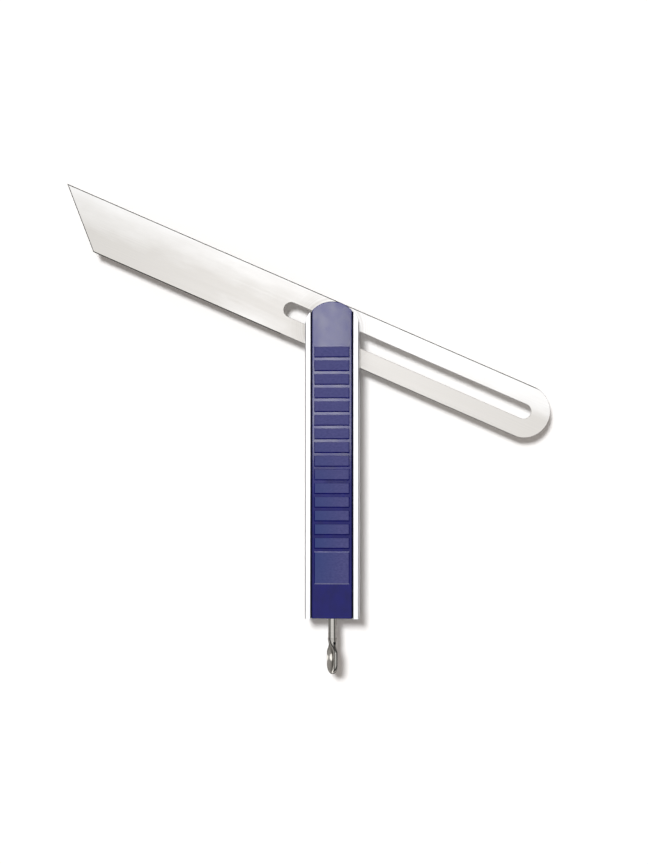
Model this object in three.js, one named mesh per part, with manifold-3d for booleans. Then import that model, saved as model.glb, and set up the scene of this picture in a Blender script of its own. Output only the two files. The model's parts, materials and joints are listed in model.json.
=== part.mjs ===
import * as THREE from 'three';
import { mergeVertices } from 'three/addons/utils/BufferGeometryUtils.js';
import Module from 'manifold-3d';

// Sliding bevel: a slotted blade that swings and slides in the fork of an aluminium handle.
// Millimetres, +Z up, lying on its rear face. The origin is on the pivot axis, in the plane of the
// handle's rear face. +Y runs to the handle's round end and -Y to its butt, where the key is.
// "Front" pieces lie towards +Z and "rear" pieces towards -Z.

// Blade
const BLADE_LENGTH = 254;
const BLADE_WIDTH = 24.8;
const BLADE_THICKNESS = 1.6;
const BLADE_TIP_ANGLE = 45; // degrees between the cut tip and the long edge
const BLADE_EDGE_CHAMFER = 0.25;
const BLADE_SLOT_WIDTH = 7.1;
const BLADE_SLOT_CHAMFER = 0.45;
const BLADE_SET_OUT = 21.6; // centre of the slot's inner round end to the pivot axis, as photographed
const BLADE_REST_ANGLE = -23.8; // degrees from +X to the blade's round end

// Handle extrusion
const HANDLE_WIDTH = 25.2;
const HANDLE_THICKNESS = 19;
const HANDLE_REACH = 136; // pivot axis to butt
const BUTT_BLOCK_LENGTH = 11.5; // solid metal between the end of the saw slot and the butt
const HANDLE_CORNER = 0.9;
const DOME_CENTRE_DROP = 0.8; // the round end's centre lies this far from the pivot, towards the butt
const RAIL_WIDTH = 2.6; // each side of the channel that takes the insert
const LIP_DEPTH = 1.5; // from the rail's face to the undercut
const UNDERCUT_HEIGHT = 1.1;
const UNDERCUT_REACH = 0.7; // how far the undercut runs in under each rail
const FRONT_WEB = 1.6; // metal between the saw slot and the front cavity
const CAVITY_WIDTH = 12.6;
const CAVITY_CORNER = 2;
const CAVITY_NOSE = 9; // pivot axis to the cavity's end nearest the round end
const CAVITY_END_WALL = 0.9; // further metal between the cavity and the end of the saw slot
const HEAD_POCKET_WEB = 3.9; // metal between the saw slot and the pocket for the pin's head

// Grip inserts
const SHADOW_GAP = 0.75; // open groove between an insert's raised body and the rail
const INSERT_SKIN = 1.5; // insert material left over the mechanism
const INSERT_EDGE_CHAMFER = 0.25;
const INSERT_BUTT_GAP = 0.55; // the insert stops short of the butt
const INSERT_DOME_GAP = 0.15;
const TILE_FIRST = 9.45; // pivot axis to the upper edge of the first tile
const TILE_PITCH = 6.35;
const TILE_LENGTH = 5.1;
const TILE_RISE = 0.4;
const TILE_CHAMFER = 0.3;
const TILE_SIDE_MARGIN = 1.05;
const PLATE_LENGTH = 15.2; // the long plain tile nearest the butt
const PLATE_TO_BUTT = 16.1; // its lower edge to the butt
const PEG_RADIUS = 1;
const PEG_DEPTH = 2; // pressed into the web
const PEG_RISE = 0.6; // stands into the insert

// Pivot and its lock
const NECK_RADIUS = 4; // the pin's flatted neck, and the shank through the rear cheek
const FRONT_SHANK_RADIUS = 3;
const PIN_THREAD_RADIUS = 2.45;
const PIN_HEAD_RADIUS = 6;
const PIN_HEAD_THICKNESS = 1.3;
const NUT_ACROSS_FLATS = 8;
const FRICTION_WASHER_RADIUS = 7;
const FRICTION_WASHER_THICKNESS = 0.5;
const DISC_SPRING_RADIUS = 5.6;
const DISC_SPRING_THICKNESS = 0.35;
const WEDGE_SLOPE = 5; // degrees
const WEDGE_NOSE = 6.5; // pivot axis to the tips of the fork
const WEDGE_ROOT = 9; // pivot axis to the near face of the fork's cross wall
const WEDGE_WALL = 3;
const COLLAR_HALF_LENGTH = 5.2;
const SEAT_TAIL = 7; // pivot axis to the seat plate's end nearest the butt

// Lock rod and key
const ROD_RADIUS = 1.8;
const ROD_THREAD_RADIUS = 1.95;
const JOURNAL_RADIUS = 1.2;
const CLIP_GROOVE_DEPTH = 0.3;
const CLIP_THICKNESS = 0.5;
const THRUST_WASHER_THICKNESS = 0.5;
const BUSH_WALL = 0.95;
const DOWEL_RADIUS = 0.75;
const KEY_STEM = 9.1; // butt to the key's root
const KEY_LENGTH = 16.8;
const KEY_ROOT_RADIUS = 2.5;
const KEY_PADDLE_WIDTH = 9.2;
const KEY_PADDLE_THICKNESS = 2.2;
const KEY_DISH_WIDTH = 7.2;
const KEY_DISH_DEPTH = 0.55;
const KEY_BORE_DEPTH = 4.8;
const KEY_PIN_RADIUS = 0.6;
const KEY_REST_TURN = -62; // degrees about the rod, from the paddle lying flat

// Clearances
const BLADE_SIDE_PLAY = 0.2; // each face of the blade to the saw slot
const RUNNING_PLAY = 0.1; // round a turning or sliding piece
const SEAT_PLAY = 0.1; // round a piece that is dropped into its seat
const STOP_PLAY = 0.8; // drawn in blade's tip to the end of the saw slot
const STACK_PLAY = 0.05; // between pieces stacked along the pivot axis
const FACE_PLAY = 0.1; // wedge to collar, clip to wall
const OVERRUN = 5; // how far a cutting shape runs past what it cuts

// Heights in the front cavity, as shares of the room between its floor and the insert's underside
const SEAT_SHARE = 0.12;
const FORK_TIP_SHARE = 0.14;
const COLLAR_TOP_SHARE = 0.64;
const NUT_TOP_SHARE = 0.96;
const PIN_END_SHARE = 0.99;
const ROD_AXIS_SHARE = 0.45;
const ROOM_SHARE = 0.93; // the part of the free height that the mechanism uses

// The key's outline and thickness: places along its length and half sizes, as shares
const KEY_NECK_SHARE = 0.22;
const KEY_SHOULDER_SHARE = 0.5;
const KEY_THINNED_SHARE = 0.4;

const SEGMENTS = 32;
const KEY_STEPS = 7; // steps along each curve of the key

// Colours
const ALUMINIUM = { color: 0xd9dadc, roughness: 0.35, metalness: 1 };
const STAINLESS = { color: 0xdcdbd8, roughness: 0.3, metalness: 1 };
const NAVY_PLASTIC = { color: 0x2e2f68, roughness: 0.4, metalness: 0 };
const BRIGHT_STEEL = { color: 0xb4b2ac, roughness: 0.2, metalness: 1 };
const DARK_STEEL = { color: 0x5e5f62, roughness: 0.4, metalness: 1 };
const BRASS = { color: 0xc9a45a, roughness: 0.35, metalness: 1 };
const ACETAL = { color: 0xe8e6df, roughness: 0.5, metalness: 0 };

// Levels along Z
const midPlane = HANDLE_THICKNESS / 2;
const sawHalf = BLADE_THICKNESS / 2 + BLADE_SIDE_PLAY;
const channelDepth = LIP_DEPTH + UNDERCUT_HEIGHT;
const cavityFloor = midPlane + sawHalf + FRONT_WEB;
const troughTop = HANDLE_THICKNESS - INSERT_SKIN;
const room = (troughTop - cavityFloor) * ROOM_SHARE;
const seatTop = cavityFloor + room * SEAT_SHARE;
const collarTop = cavityFloor + room * COLLAR_TOP_SHARE;
const nutTop = cavityFloor + room * NUT_TOP_SHARE;
const pinEnd = cavityFloor + room * PIN_END_SHARE;
const rodAxis = cavityFloor + room * ROD_AXIS_SHARE;
const wedgeTop = cavityFloor + room * NUT_TOP_SHARE;
const collarRingRadius = rodAxis - cavityFloor - SEAT_PLAY; // washer and clip, clear of the floor
const pocketFloor = midPlane - sawHalf - HEAD_POCKET_WEB;
const springBottom = pocketFloor - STACK_PLAY - DISC_SPRING_THICKNESS * 1.5;
const pinHeadTop = springBottom - STACK_PLAY;

// Places along Y
const domeCentre = -DOME_CENTRE_DROP;
const domeRadius = HANDLE_WIDTH / 2;
const domeTop = domeCentre + domeRadius;
const butt = -HANDLE_REACH;
const flatHalf = BLADE_SLOT_WIDTH / 2 - RUNNING_PLAY;
const slotRadius = BLADE_SLOT_WIDTH / 2;
const neckStop = Math.sqrt(NECK_RADIUS ** 2 - flatHalf ** 2) - Math.sqrt(slotRadius ** 2 - flatHalf ** 2);
const sawEnd = butt + BUTT_BLOCK_LENGTH;
const cavityEnd = sawEnd + CAVITY_END_WALL;
const rodShoulder = -(WEDGE_ROOT + WEDGE_WALL + FACE_PLAY + THRUST_WASHER_THICKNESS + FACE_PLAY);
const clipFace = -WEDGE_ROOT + FACE_PLAY;
const journalEnd = clipFace + CLIP_THICKNESS * 2;
const keyRoot = butt - KEY_STEM;
const keyEnd = keyRoot - KEY_LENGTH;
const rodEnd = keyRoot - KEY_BORE_DEPTH + FACE_PLAY;
const bushTop = sawEnd - STACK_PLAY;

// The tiles fill the room above the plate
const plateTop = butt + PLATE_TO_BUTT + PLATE_LENGTH;
const tileCount = Math.floor((-plateTop - TILE_FIRST - TILE_LENGTH) / TILE_PITCH) + 1;

// Places along the blade, whose tip clears the butt block when it is drawn right in
const bladeSlotStart = -sawEnd - neckStop - STOP_PLAY; // tip to the centre of the slot's inner round end
const bladePivotPlace = bladeSlotStart + BLADE_SET_OUT; // tip to the pivot axis

// Widths across X
const channelHalf = HANDLE_WIDTH / 2 - RAIL_WIDTH;
const undercutHalf = channelHalf + UNDERCUT_REACH;
const raisedHalf = channelHalf - SHADOW_GAP;
const tileHalf = raisedHalf - TILE_SIDE_MARGIN;
const cavityHalf = CAVITY_WIDTH / 2;
const fittedHalf = cavityHalf - SEAT_PLAY * 3;
const bushRadius = ROD_THREAD_RADIUS + RUNNING_PLAY + BUSH_WALL;
const pegX = (cavityHalf + channelHalf) / 2;
const pegY = (butt + sawEnd) / 2;
const dowelX = bushRadius;
const dowelY = pegY;

const wasm = await Module();
wasm.setup();

// Turns a three.js geometry into a solid: welds it, drops empty faces and makes it face outwards.
function solid(geometry) {
  const bare = geometry.clone();
  bare.deleteAttribute('normal');
  bare.deleteAttribute('uv');
  const welded = mergeVertices(bare, 1e-5);
  const triangles = [];
  for (let i = 0; i < welded.index.count; i += 3) {
    const [a, b, c] = [0, 1, 2].map((k) => welded.index.getX(i + k));
    if (a !== b && b !== c && c !== a) triangles.push(a, b, c);
  }
  if (signedVolume(welded.attributes.position, triangles) < 0) triangles.reverse();
  return new wasm.Manifold(new wasm.Mesh({
    numProp: 3,
    vertProperties: new Float32Array(welded.attributes.position.array),
    triVerts: new Uint32Array(triangles),
  }));
}

function signedVolume(position, triangles) {
  const corner = [new THREE.Vector3(), new THREE.Vector3(), new THREE.Vector3()];
  let total = 0;
  for (let i = 0; i < triangles.length; i += 3) {
    corner.forEach((point, k) => point.fromBufferAttribute(position, triangles[i + k]));
    total += corner[0].dot(corner[1].clone().cross(corner[2]));
  }
  return total;
}

function geometryOf(manifold) {
  const mesh = manifold.getMesh();
  const geometry = new THREE.BufferGeometry();
  geometry.setAttribute('position', new THREE.BufferAttribute(mesh.vertProperties, 3));
  geometry.setIndex(new THREE.BufferAttribute(mesh.triVerts, 1));
  geometry.computeVertexNormals();
  return geometry;
}

function piece(name, manifold, finish) {
  const mesh = new THREE.Mesh(geometryOf(manifold), new THREE.MeshStandardMaterial(finish));
  mesh.name = name;
  return mesh;
}

// A box from its two corners.
function block([x0, x1], [y0, y1], [z0, z1]) {
  const box = new THREE.BoxGeometry(x1 - x0, y1 - y0, z1 - z0);
  return solid(box.translate((x0 + x1) / 2, (y0 + y1) / 2, (z0 + z1) / 2));
}

// A plan outline raised along Z, with an optional chamfer round both faces.
function slab(shape, z0, z1, chamfer = 0) {
  const geometry = new THREE.ExtrudeGeometry(shape, {
    depth: z1 - z0 - chamfer * 2,
    bevelEnabled: chamfer > 0,
    bevelThickness: chamfer,
    bevelSize: chamfer,
    bevelOffset: -chamfer,
    bevelSegments: 1,
    curveSegments: SEGMENTS / 2,
  });
  return solid(geometry.translate(0, 0, z0 + chamfer));
}

// A cutter that leaves a 45 degree chamfer on the rim of an opening in the face at the height given.
function rimCutter(shape, z, chamfer) {
  const geometry = new THREE.ExtrudeGeometry(shape, {
    depth: OVERRUN,
    bevelThickness: chamfer,
    bevelSize: chamfer,
    bevelSegments: 1,
    curveSegments: SEGMENTS / 2,
  });
  return solid(geometry.translate(0, 0, z));
}

// A side view in Y and Z, extended evenly either side of X = 0.
function sideSlab(points, halfWidth) {
  const shape = new THREE.Shape(points.map(([y, z]) => new THREE.Vector2(y, z)));
  const geometry = new THREE.ExtrudeGeometry(shape, { depth: halfWidth * 2, bevelEnabled: false });
  geometry.translate(0, 0, -halfWidth);
  return solid(geometry.rotateX(Math.PI / 2).rotateZ(Math.PI / 2));
}

// A profile of [radius, height] pairs turned about Z, or about Y.
function turned(profile) {
  const points = profile.map(([radius, height]) => new THREE.Vector2(radius, height));
  return solid(new THREE.LatheGeometry(points, SEGMENTS).rotateX(Math.PI / 2));
}

function turnedAlongY(profile) {
  const points = profile.map(([radius, height]) => new THREE.Vector2(radius, height));
  return solid(new THREE.LatheGeometry(points, SEGMENTS));
}

function post(radius, z0, z1, x = 0, y = 0) {
  return turned([[0, z0], [radius, z0], [radius, z1], [0, z1]]).translate([x, y, 0]);
}

function postAlongY(radius, y0, y1, z = 0) {
  return turnedAlongY([[0, y0], [radius, y0], [radius, y1], [0, y1]]).translate([0, 0, z]);
}

function ring(inner, outer, z0, z1) {
  return turned([[inner, z0], [outer, z0], [outer, z1], [inner, z1], [inner, z0]]);
}

function ringAlongY(inner, outer, y0, y1) {
  return turnedAlongY([[inner, y0], [outer, y0], [outer, y1], [inner, y1], [inner, y0]]);
}

function roundedRectangle([x0, x1], [y0, y1], radius) {
  const shape = new THREE.Shape();
  shape.absarc(x1 - radius, y1 - radius, radius, 0, Math.PI / 2);
  shape.absarc(x0 + radius, y1 - radius, radius, Math.PI / 2, Math.PI);
  shape.absarc(x0 + radius, y0 + radius, radius, Math.PI, Math.PI * 1.5);
  shape.absarc(x1 - radius, y0 + radius, radius, Math.PI * 1.5, Math.PI * 2);
  return shape;
}

// A long outline with straight sides, a square butt end and an arc of the dome's centre at the top.
function domedOutline(halfWidth, radius, lowEnd) {
  const lift = Math.sqrt(Math.max(radius ** 2 - halfWidth ** 2, 0));
  const start = Math.atan2(lift, halfWidth);
  const shape = new THREE.Shape();
  shape.moveTo(-halfWidth, lowEnd);
  shape.lineTo(halfWidth, lowEnd);
  shape.absarc(0, domeCentre, radius, start, Math.PI - start);
  shape.closePath();
  return shape;
}

// Blade

function slotOutline() {
  const outer = BLADE_LENGTH - bladePivotPlace - BLADE_WIDTH / 2;
  const shape = new THREE.Shape();
  shape.absarc(outer, 0, slotRadius, -Math.PI / 2, Math.PI / 2);
  shape.absarc(-BLADE_SET_OUT, 0, slotRadius, Math.PI / 2, Math.PI * 1.5);
  return shape;
}

function bladeOutline() {
  const half = BLADE_WIDTH / 2;
  const cutRun = BLADE_WIDTH / Math.tan(THREE.MathUtils.degToRad(BLADE_TIP_ANGLE));
  const shape = new THREE.Shape();
  shape.moveTo(-bladePivotPlace, half);
  shape.lineTo(cutRun - bladePivotPlace, -half);
  shape.absarc(BLADE_LENGTH - bladePivotPlace - half, 0, half, -Math.PI / 2, Math.PI / 2);
  shape.closePath();
  return shape;
}

function blade() {
  const low = midPlane - BLADE_THICKNESS / 2;
  const high = midPlane + BLADE_THICKNESS / 2;
  const upperRim = rimCutter(slotOutline(), high, BLADE_SLOT_CHAMFER);
  const lowerRim = upperRim.mirror([0, 0, 1]).translate([0, 0, midPlane * 2]);
  const body = slab(bladeOutline(), low, high, BLADE_EDGE_CHAMFER)
    .subtract(slab(slotOutline(), low - OVERRUN, high + OVERRUN))
    .subtract(upperRim)
    .subtract(lowerRim);
  return piece('blade', body, STAINLESS);
}

// Handle

function handleSection() {
  const half = HANDLE_WIDTH / 2;
  const shape = roundedRectangle([-half, half], [0, HANDLE_THICKNESS], HANDLE_CORNER);
  const length = domeTop - butt + OVERRUN;
  const geometry = new THREE.ExtrudeGeometry(shape, { depth: length, bevelEnabled: false, curveSegments: 6 });
  return solid(geometry.rotateX(Math.PI / 2).translate(0, domeTop + OVERRUN, 0));
}

// The channel for one insert, cut for the front face.
function channel() {
  const alongY = [butt - OVERRUN, domeTop + OVERRUN];
  const floor = HANDLE_THICKNESS - channelDepth;
  const mouth = block([-channelHalf, channelHalf], alongY, [floor, HANDLE_THICKNESS + OVERRUN]);
  const undercut = block([-undercutHalf, undercutHalf], alongY, [floor, floor + UNDERCUT_HEIGHT]);
  return mouth.add(undercut);
}

function turnedOver(manifold) {
  return manifold.rotate([0, 180, 0]).translate([0, 0, HANDLE_THICKNESS]);
}

function cavity() {
  const shape = roundedRectangle([-cavityHalf, cavityHalf], [cavityEnd, CAVITY_NOSE], CAVITY_CORNER);
  const rodWay = postAlongY(ROD_RADIUS + SEAT_PLAY, cavityEnd, -WEDGE_ROOT, rodAxis);
  return slab(shape, cavityFloor, HANDLE_THICKNESS).add(rodWay);
}

function pegHole() {
  const floor = HANDLE_THICKNESS - channelDepth;
  return post(PEG_RADIUS, floor - PEG_DEPTH, floor + OVERRUN, pegX, pegY);
}

function handleBody() {
  const half = HANDLE_WIDTH / 2;
  const acrossX = [-half - OVERRUN, half + OVERRUN];
  const washerSeat = FRICTION_WASHER_THICKNESS - FACE_PLAY;
  const seatHalf = sawHalf + washerSeat;
  const cuts = [
    channel(),
    turnedOver(channel()),
    cavity(),
    pegHole(),
    turnedOver(pegHole()),
    block(acrossX, [sawEnd, domeTop + OVERRUN], [midPlane - sawHalf, midPlane + sawHalf]),
    post(FRICTION_WASHER_RADIUS + SEAT_PLAY, midPlane - seatHalf, midPlane + seatHalf),
    post(NECK_RADIUS + RUNNING_PLAY, -OVERRUN, midPlane),
    post(PIN_HEAD_RADIUS + SEAT_PLAY * 5, -OVERRUN, pocketFloor),
    post(FRONT_SHANK_RADIUS + RUNNING_PLAY, midPlane, HANDLE_THICKNESS + OVERRUN),
    postAlongY(bushRadius, butt - OVERRUN, sawEnd, rodAxis),
    postAlongY(ROD_THREAD_RADIUS + RUNNING_PLAY, sawEnd - OVERRUN, cavityEnd + OVERRUN, rodAxis),
    dowelHole(),
  ];
  let body = handleSection();
  body = body.intersect(slab(domedOutline(half, domeRadius, butt), -OVERRUN, HANDLE_THICKNESS + OVERRUN));
  for (const cut of cuts) body = body.subtract(cut);
  return piece('handle_body', body, ALUMINIUM);
}

// Grip inserts, made for the front face and turned over for the rear

function tileOutline(high, low) {
  const shape = new THREE.Shape();
  shape.moveTo(-tileHalf, low);
  shape.lineTo(tileHalf, low);
  shape.lineTo(tileHalf, high);
  shape.lineTo(-tileHalf, high);
  shape.closePath();
  return shape;
}

// One raised tile, its foot sunk in the insert so that only its upper edges show their chamfer.
function tile(high, length) {
  const top = HANDLE_THICKNESS + TILE_RISE;
  return slab(tileOutline(high, high - length), top - INSERT_SKIN, top, TILE_CHAMFER);
}

function mechanismRelief() {
  const floor = HANDLE_THICKNESS - channelDepth - OVERRUN;
  const alongY = [butt - OVERRUN, CAVITY_NOSE];
  const trough = block([-fittedHalf, fittedHalf], alongY, [floor, troughTop]);
  const bushWay = postAlongY(bushRadius + SEAT_PLAY, butt - OVERRUN, sawEnd + OVERRUN, rodAxis);
  return trough.add(bushWay);
}

function insert(name) {
  const face = HANDLE_THICKNESS;
  const floor = face - channelDepth + SEAT_PLAY / 2;
  const flangeTop = face - LIP_DEPTH - SEAT_PLAY / 2;
  const radius = domeRadius - INSERT_DOME_GAP;
  const lowEnd = butt + INSERT_BUTT_GAP;
  let body = slab(domedOutline(undercutHalf - SEAT_PLAY, radius, lowEnd), floor, flangeTop);
  body = body.add(slab(domedOutline(raisedHalf, radius, lowEnd), floor, face, INSERT_EDGE_CHAMFER));
  for (let i = 0; i < tileCount; i += 1) body = body.add(tile(-TILE_FIRST - i * TILE_PITCH, TILE_LENGTH));
  body = body.add(tile(plateTop, PLATE_LENGTH));
  body = body.subtract(mechanismRelief());
  const recess = post(PEG_RADIUS + SEAT_PLAY, floor - OVERRUN, floor + PEG_RISE, pegX, pegY);
  return piece(name, body.subtract(recess), NAVY_PLASTIC);
}

function peg(name) {
  const floor = HANDLE_THICKNESS - channelDepth;
  return piece(name, post(PEG_RADIUS, floor - PEG_DEPTH, floor + PEG_RISE, pegX, pegY), BRIGHT_STEEL);
}

function gripSide(side) {
  const group = new THREE.Group();
  group.add(insert(`${side}_grip_insert`), peg(`${side}_insert_peg`));
  if (side === 'rear') {
    group.rotation.y = Math.PI;
    group.position.z = HANDLE_THICKNESS;
  }
  return group;
}

// Pivot

function pivotPin() {
  const blockHalf = NECK_RADIUS + OVERRUN;
  const headBottom = pinHeadTop - PIN_HEAD_THICKNESS;
  const neckLow = midPlane - sawHalf;
  const neckHigh = midPlane + sawHalf - FACE_PLAY;
  const neckSides = [[flatHalf, blockHalf], [-blockHalf, -flatHalf]];
  let pin = turned([
    [0, headBottom],
    [PIN_HEAD_RADIUS, headBottom],
    [PIN_HEAD_RADIUS, pinHeadTop],
    [NECK_RADIUS, pinHeadTop],
    [NECK_RADIUS, neckHigh],
    [FRONT_SHANK_RADIUS, neckHigh],
    [FRONT_SHANK_RADIUS, collarTop],
    [PIN_THREAD_RADIUS, collarTop],
    [PIN_THREAD_RADIUS, pinEnd],
    [0, pinEnd],
  ]);
  for (const side of neckSides) pin = pin.subtract(block([-blockHalf, blockHalf], side, [neckLow, neckHigh]));
  return piece('pivot_pin', pin, BRIGHT_STEEL);
}

function pinNut() {
  const height = nutTop - collarTop - STACK_PLAY;
  const cornerRadius = NUT_ACROSS_FLATS / Math.sqrt(3);
  const hexagon = new THREE.CylinderGeometry(cornerRadius, cornerRadius, height, 6);
  const blank = solid(hexagon.rotateX(Math.PI / 2).translate(0, 0, nutTop - height / 2));
  const hole = post(PIN_THREAD_RADIUS + RUNNING_PLAY, collarTop - OVERRUN, nutTop + OVERRUN);
  return piece('pin_nut', blank.subtract(hole), DARK_STEEL);
}

function frictionWasher(name, direction) {
  const inner = NECK_RADIUS + RUNNING_PLAY * 2;
  const near = midPlane + direction * (BLADE_THICKNESS / 2 + FACE_PLAY);
  const far = near + direction * FRICTION_WASHER_THICKNESS;
  return piece(name, ring(inner, FRICTION_WASHER_RADIUS, Math.min(near, far), Math.max(near, far)), ACETAL);
}

function discSpring() {
  const inner = NECK_RADIUS + RUNNING_PLAY * 2;
  const crown = pocketFloor - STACK_PLAY;
  const rim = springBottom + DISC_SPRING_THICKNESS;
  const cone = turned([
    [inner, crown - DISC_SPRING_THICKNESS],
    [DISC_SPRING_RADIUS, springBottom],
    [DISC_SPRING_RADIUS, rim],
    [inner, crown],
    [inner, crown - DISC_SPRING_THICKNESS],
  ]);
  return piece('disc_spring', cone, DARK_STEEL);
}

// Wedge lock

function slopeRise(run) {
  return run * Math.tan(THREE.MathUtils.degToRad(WEDGE_SLOPE));
}

// Height of the fork's sloping face at a place along Y.
function forkTopAt(y) {
  return seatTop + room * FORK_TIP_SHARE + slopeRise(WEDGE_NOSE - y);
}

function seatPlate() {
  const nose = CAVITY_NOSE - SEAT_PLAY * 3;
  const shape = roundedRectangle([-fittedHalf, fittedHalf], [-SEAT_TAIL, nose], CAVITY_CORNER);
  const hole = post(FRONT_SHANK_RADIUS + RUNNING_PLAY * 2, cavityFloor - OVERRUN, seatTop + OVERRUN);
  return piece('seat_plate', slab(shape, cavityFloor, seatTop).subtract(hole), BRIGHT_STEEL);
}

function wedgeFork() {
  const wallFar = -(WEDGE_ROOT + WEDGE_WALL);
  const gapHalf = FRONT_SHANK_RADIUS + SEAT_PLAY * 3;
  const blank = sideSlab([
    [wallFar, seatTop],
    [WEDGE_NOSE, seatTop],
    [WEDGE_NOSE, forkTopAt(WEDGE_NOSE)],
    [-WEDGE_ROOT, forkTopAt(-WEDGE_ROOT)],
    [-WEDGE_ROOT, wedgeTop],
    [wallFar, wedgeTop],
  ], fittedHalf);
  const gap = block([-gapHalf, gapHalf], [-WEDGE_ROOT, WEDGE_NOSE + OVERRUN], [cavityFloor, HANDLE_THICKNESS]);
  const journalHole = postAlongY(JOURNAL_RADIUS + RUNNING_PLAY, wallFar - OVERRUN, 0, rodAxis);
  return piece('wedge_fork', blank.subtract(gap).subtract(journalHole), DARK_STEEL);
}

function rampCollar() {
  const near = COLLAR_HALF_LENGTH;
  const blank = sideSlab([
    [-near, forkTopAt(-near) + FACE_PLAY],
    [near, forkTopAt(near) + FACE_PLAY],
    [near, collarTop],
    [-near, collarTop],
  ], fittedHalf);
  const hole = post(FRONT_SHANK_RADIUS + RUNNING_PLAY, seatTop - OVERRUN, collarTop + OVERRUN);
  return piece('ramp_collar', blank.subtract(hole), BRIGHT_STEEL);
}

// Threaded bush in the butt, and the dowel that stops it from turning

function dowelHole() {
  const low = rodAxis - bushRadius;
  return post(DOWEL_RADIUS, low, HANDLE_THICKNESS, dowelX, dowelY);
}

function threadedBush() {
  const tube = ringAlongY(ROD_THREAD_RADIUS + RUNNING_PLAY, bushRadius, butt, bushTop).translate([0, 0, rodAxis]);
  return piece('threaded_bush', tube.subtract(dowelHole()), BRASS);
}

function bushDowel() {
  const low = rodAxis - bushRadius;
  const high = HANDLE_THICKNESS - channelDepth;
  return piece('bush_dowel', post(DOWEL_RADIUS, low, high, dowelX, dowelY), BRIGHT_STEEL);
}

// Lock rod and key, made with the rod's axis along Y at X = Z = 0

function lockRod() {
  const grooveRadius = JOURNAL_RADIUS - CLIP_GROOVE_DEPTH;
  const grooveLow = clipFace - FACE_PLAY;
  const grooveHigh = clipFace + CLIP_THICKNESS + FACE_PLAY;
  const threadHigh = sawEnd + KEY_BORE_DEPTH;
  const rod = turnedAlongY([
    [0, rodEnd],
    [ROD_RADIUS, rodEnd],
    [ROD_RADIUS, butt],
    [ROD_THREAD_RADIUS, butt],
    [ROD_THREAD_RADIUS, threadHigh],
    [ROD_RADIUS, threadHigh],
    [ROD_RADIUS, rodShoulder],
    [JOURNAL_RADIUS, rodShoulder],
    [JOURNAL_RADIUS, grooveLow],
    [grooveRadius, grooveLow],
    [grooveRadius, grooveHigh],
    [JOURNAL_RADIUS, grooveHigh],
    [JOURNAL_RADIUS, journalEnd],
    [0, journalEnd],
  ]);
  return piece('lock_rod', rod.subtract(keyPinSolid(RUNNING_PLAY / 2)), BRIGHT_STEEL);
}

function thrustWasher() {
  const near = -(WEDGE_ROOT + WEDGE_WALL) - FACE_PLAY;
  const washer = ringAlongY(JOURNAL_RADIUS + RUNNING_PLAY, collarRingRadius, near - THRUST_WASHER_THICKNESS, near);
  return piece('thrust_washer', washer, BRASS);
}

function rodClip() {
  const inner = JOURNAL_RADIUS - CLIP_GROOVE_DEPTH + RUNNING_PLAY;
  const full = ringAlongY(inner, collarRingRadius, clipFace, clipFace + CLIP_THICKNESS);
  const alongY = [clipFace - OVERRUN, clipFace + OVERRUN];
  const mouth = block([-inner, inner], alongY, [0, collarRingRadius + OVERRUN]);
  return piece('rod_clip', full.subtract(mouth), DARK_STEEL);
}

function keyPinSolid(extra) {
  const along = keyRoot - KEY_BORE_DEPTH / 2;
  const halfLength = KEY_ROOT_RADIUS + extra;
  const radius = KEY_PIN_RADIUS + extra;
  const upright = post(radius, -halfLength, halfLength);
  return upright.rotate([0, 90, 0]).translate([0, along, 0]);
}

// The key's outline, turned as a round bar: [radius, place along Y] from the paddle's end to its root.
function keyBar() {
  const wide = KEY_PADDLE_WIDTH / 2;
  const tipCentre = keyEnd + wide;
  const shoulder = keyRoot - KEY_LENGTH * KEY_SHOULDER_SHARE;
  const neck = keyRoot - KEY_LENGTH * KEY_NECK_SHARE;
  const midway = (shoulder + neck) / 2;
  const outline = new THREE.Path();
  outline.moveTo(0, keyEnd);
  outline.absarc(0, tipCentre, wide, -Math.PI / 2, 0);
  outline.lineTo(wide, shoulder);
  outline.bezierCurveTo(wide, midway, KEY_ROOT_RADIUS, midway, KEY_ROOT_RADIUS, neck);
  outline.lineTo(KEY_ROOT_RADIUS, keyRoot);
  outline.lineTo(0, keyRoot);
  return turnedAlongY(outline.getPoints(KEY_STEPS).map((point) => [point.x, point.y]));
}

// The same bar pressed flat: its thickness in side view.
function keyThickness() {
  const thin = KEY_PADDLE_THICKNESS / 2;
  const neck = keyRoot - KEY_LENGTH * KEY_NECK_SHARE;
  const thinned = keyRoot - KEY_LENGTH * KEY_THINNED_SHARE;
  const midway = (neck + thinned) / 2;
  const outline = new THREE.Path();
  outline.moveTo(keyEnd - OVERRUN, thin);
  outline.lineTo(thinned, thin);
  outline.bezierCurveTo(midway, thin, midway, KEY_ROOT_RADIUS, neck, KEY_ROOT_RADIUS);
  outline.lineTo(keyRoot + OVERRUN, KEY_ROOT_RADIUS);
  const upper = outline.getPoints(KEY_STEPS).map((point) => [point.x, point.y]);
  const lower = upper.map(([y, z]) => [y, -z]).reverse();
  return sideSlab([...upper, ...lower], KEY_PADDLE_WIDTH);
}

// A shallow thumb dish in each face of the paddle.
function keyDishes() {
  const half = KEY_DISH_WIDTH / 2;
  const ballRadius = (half ** 2 + KEY_DISH_DEPTH ** 2) / (KEY_DISH_DEPTH * 2);
  const lift = KEY_PADDLE_THICKNESS / 2 - KEY_DISH_DEPTH + ballRadius;
  const ball = solid(new THREE.SphereGeometry(ballRadius, SEGMENTS * 2, SEGMENTS).rotateX(Math.PI / 2));
  const near = ball.translate([0, keyEnd + KEY_PADDLE_WIDTH / 2 + half - KEY_DISH_DEPTH, lift]);
  return near.add(near.mirror([0, 0, 1]));
}

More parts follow.
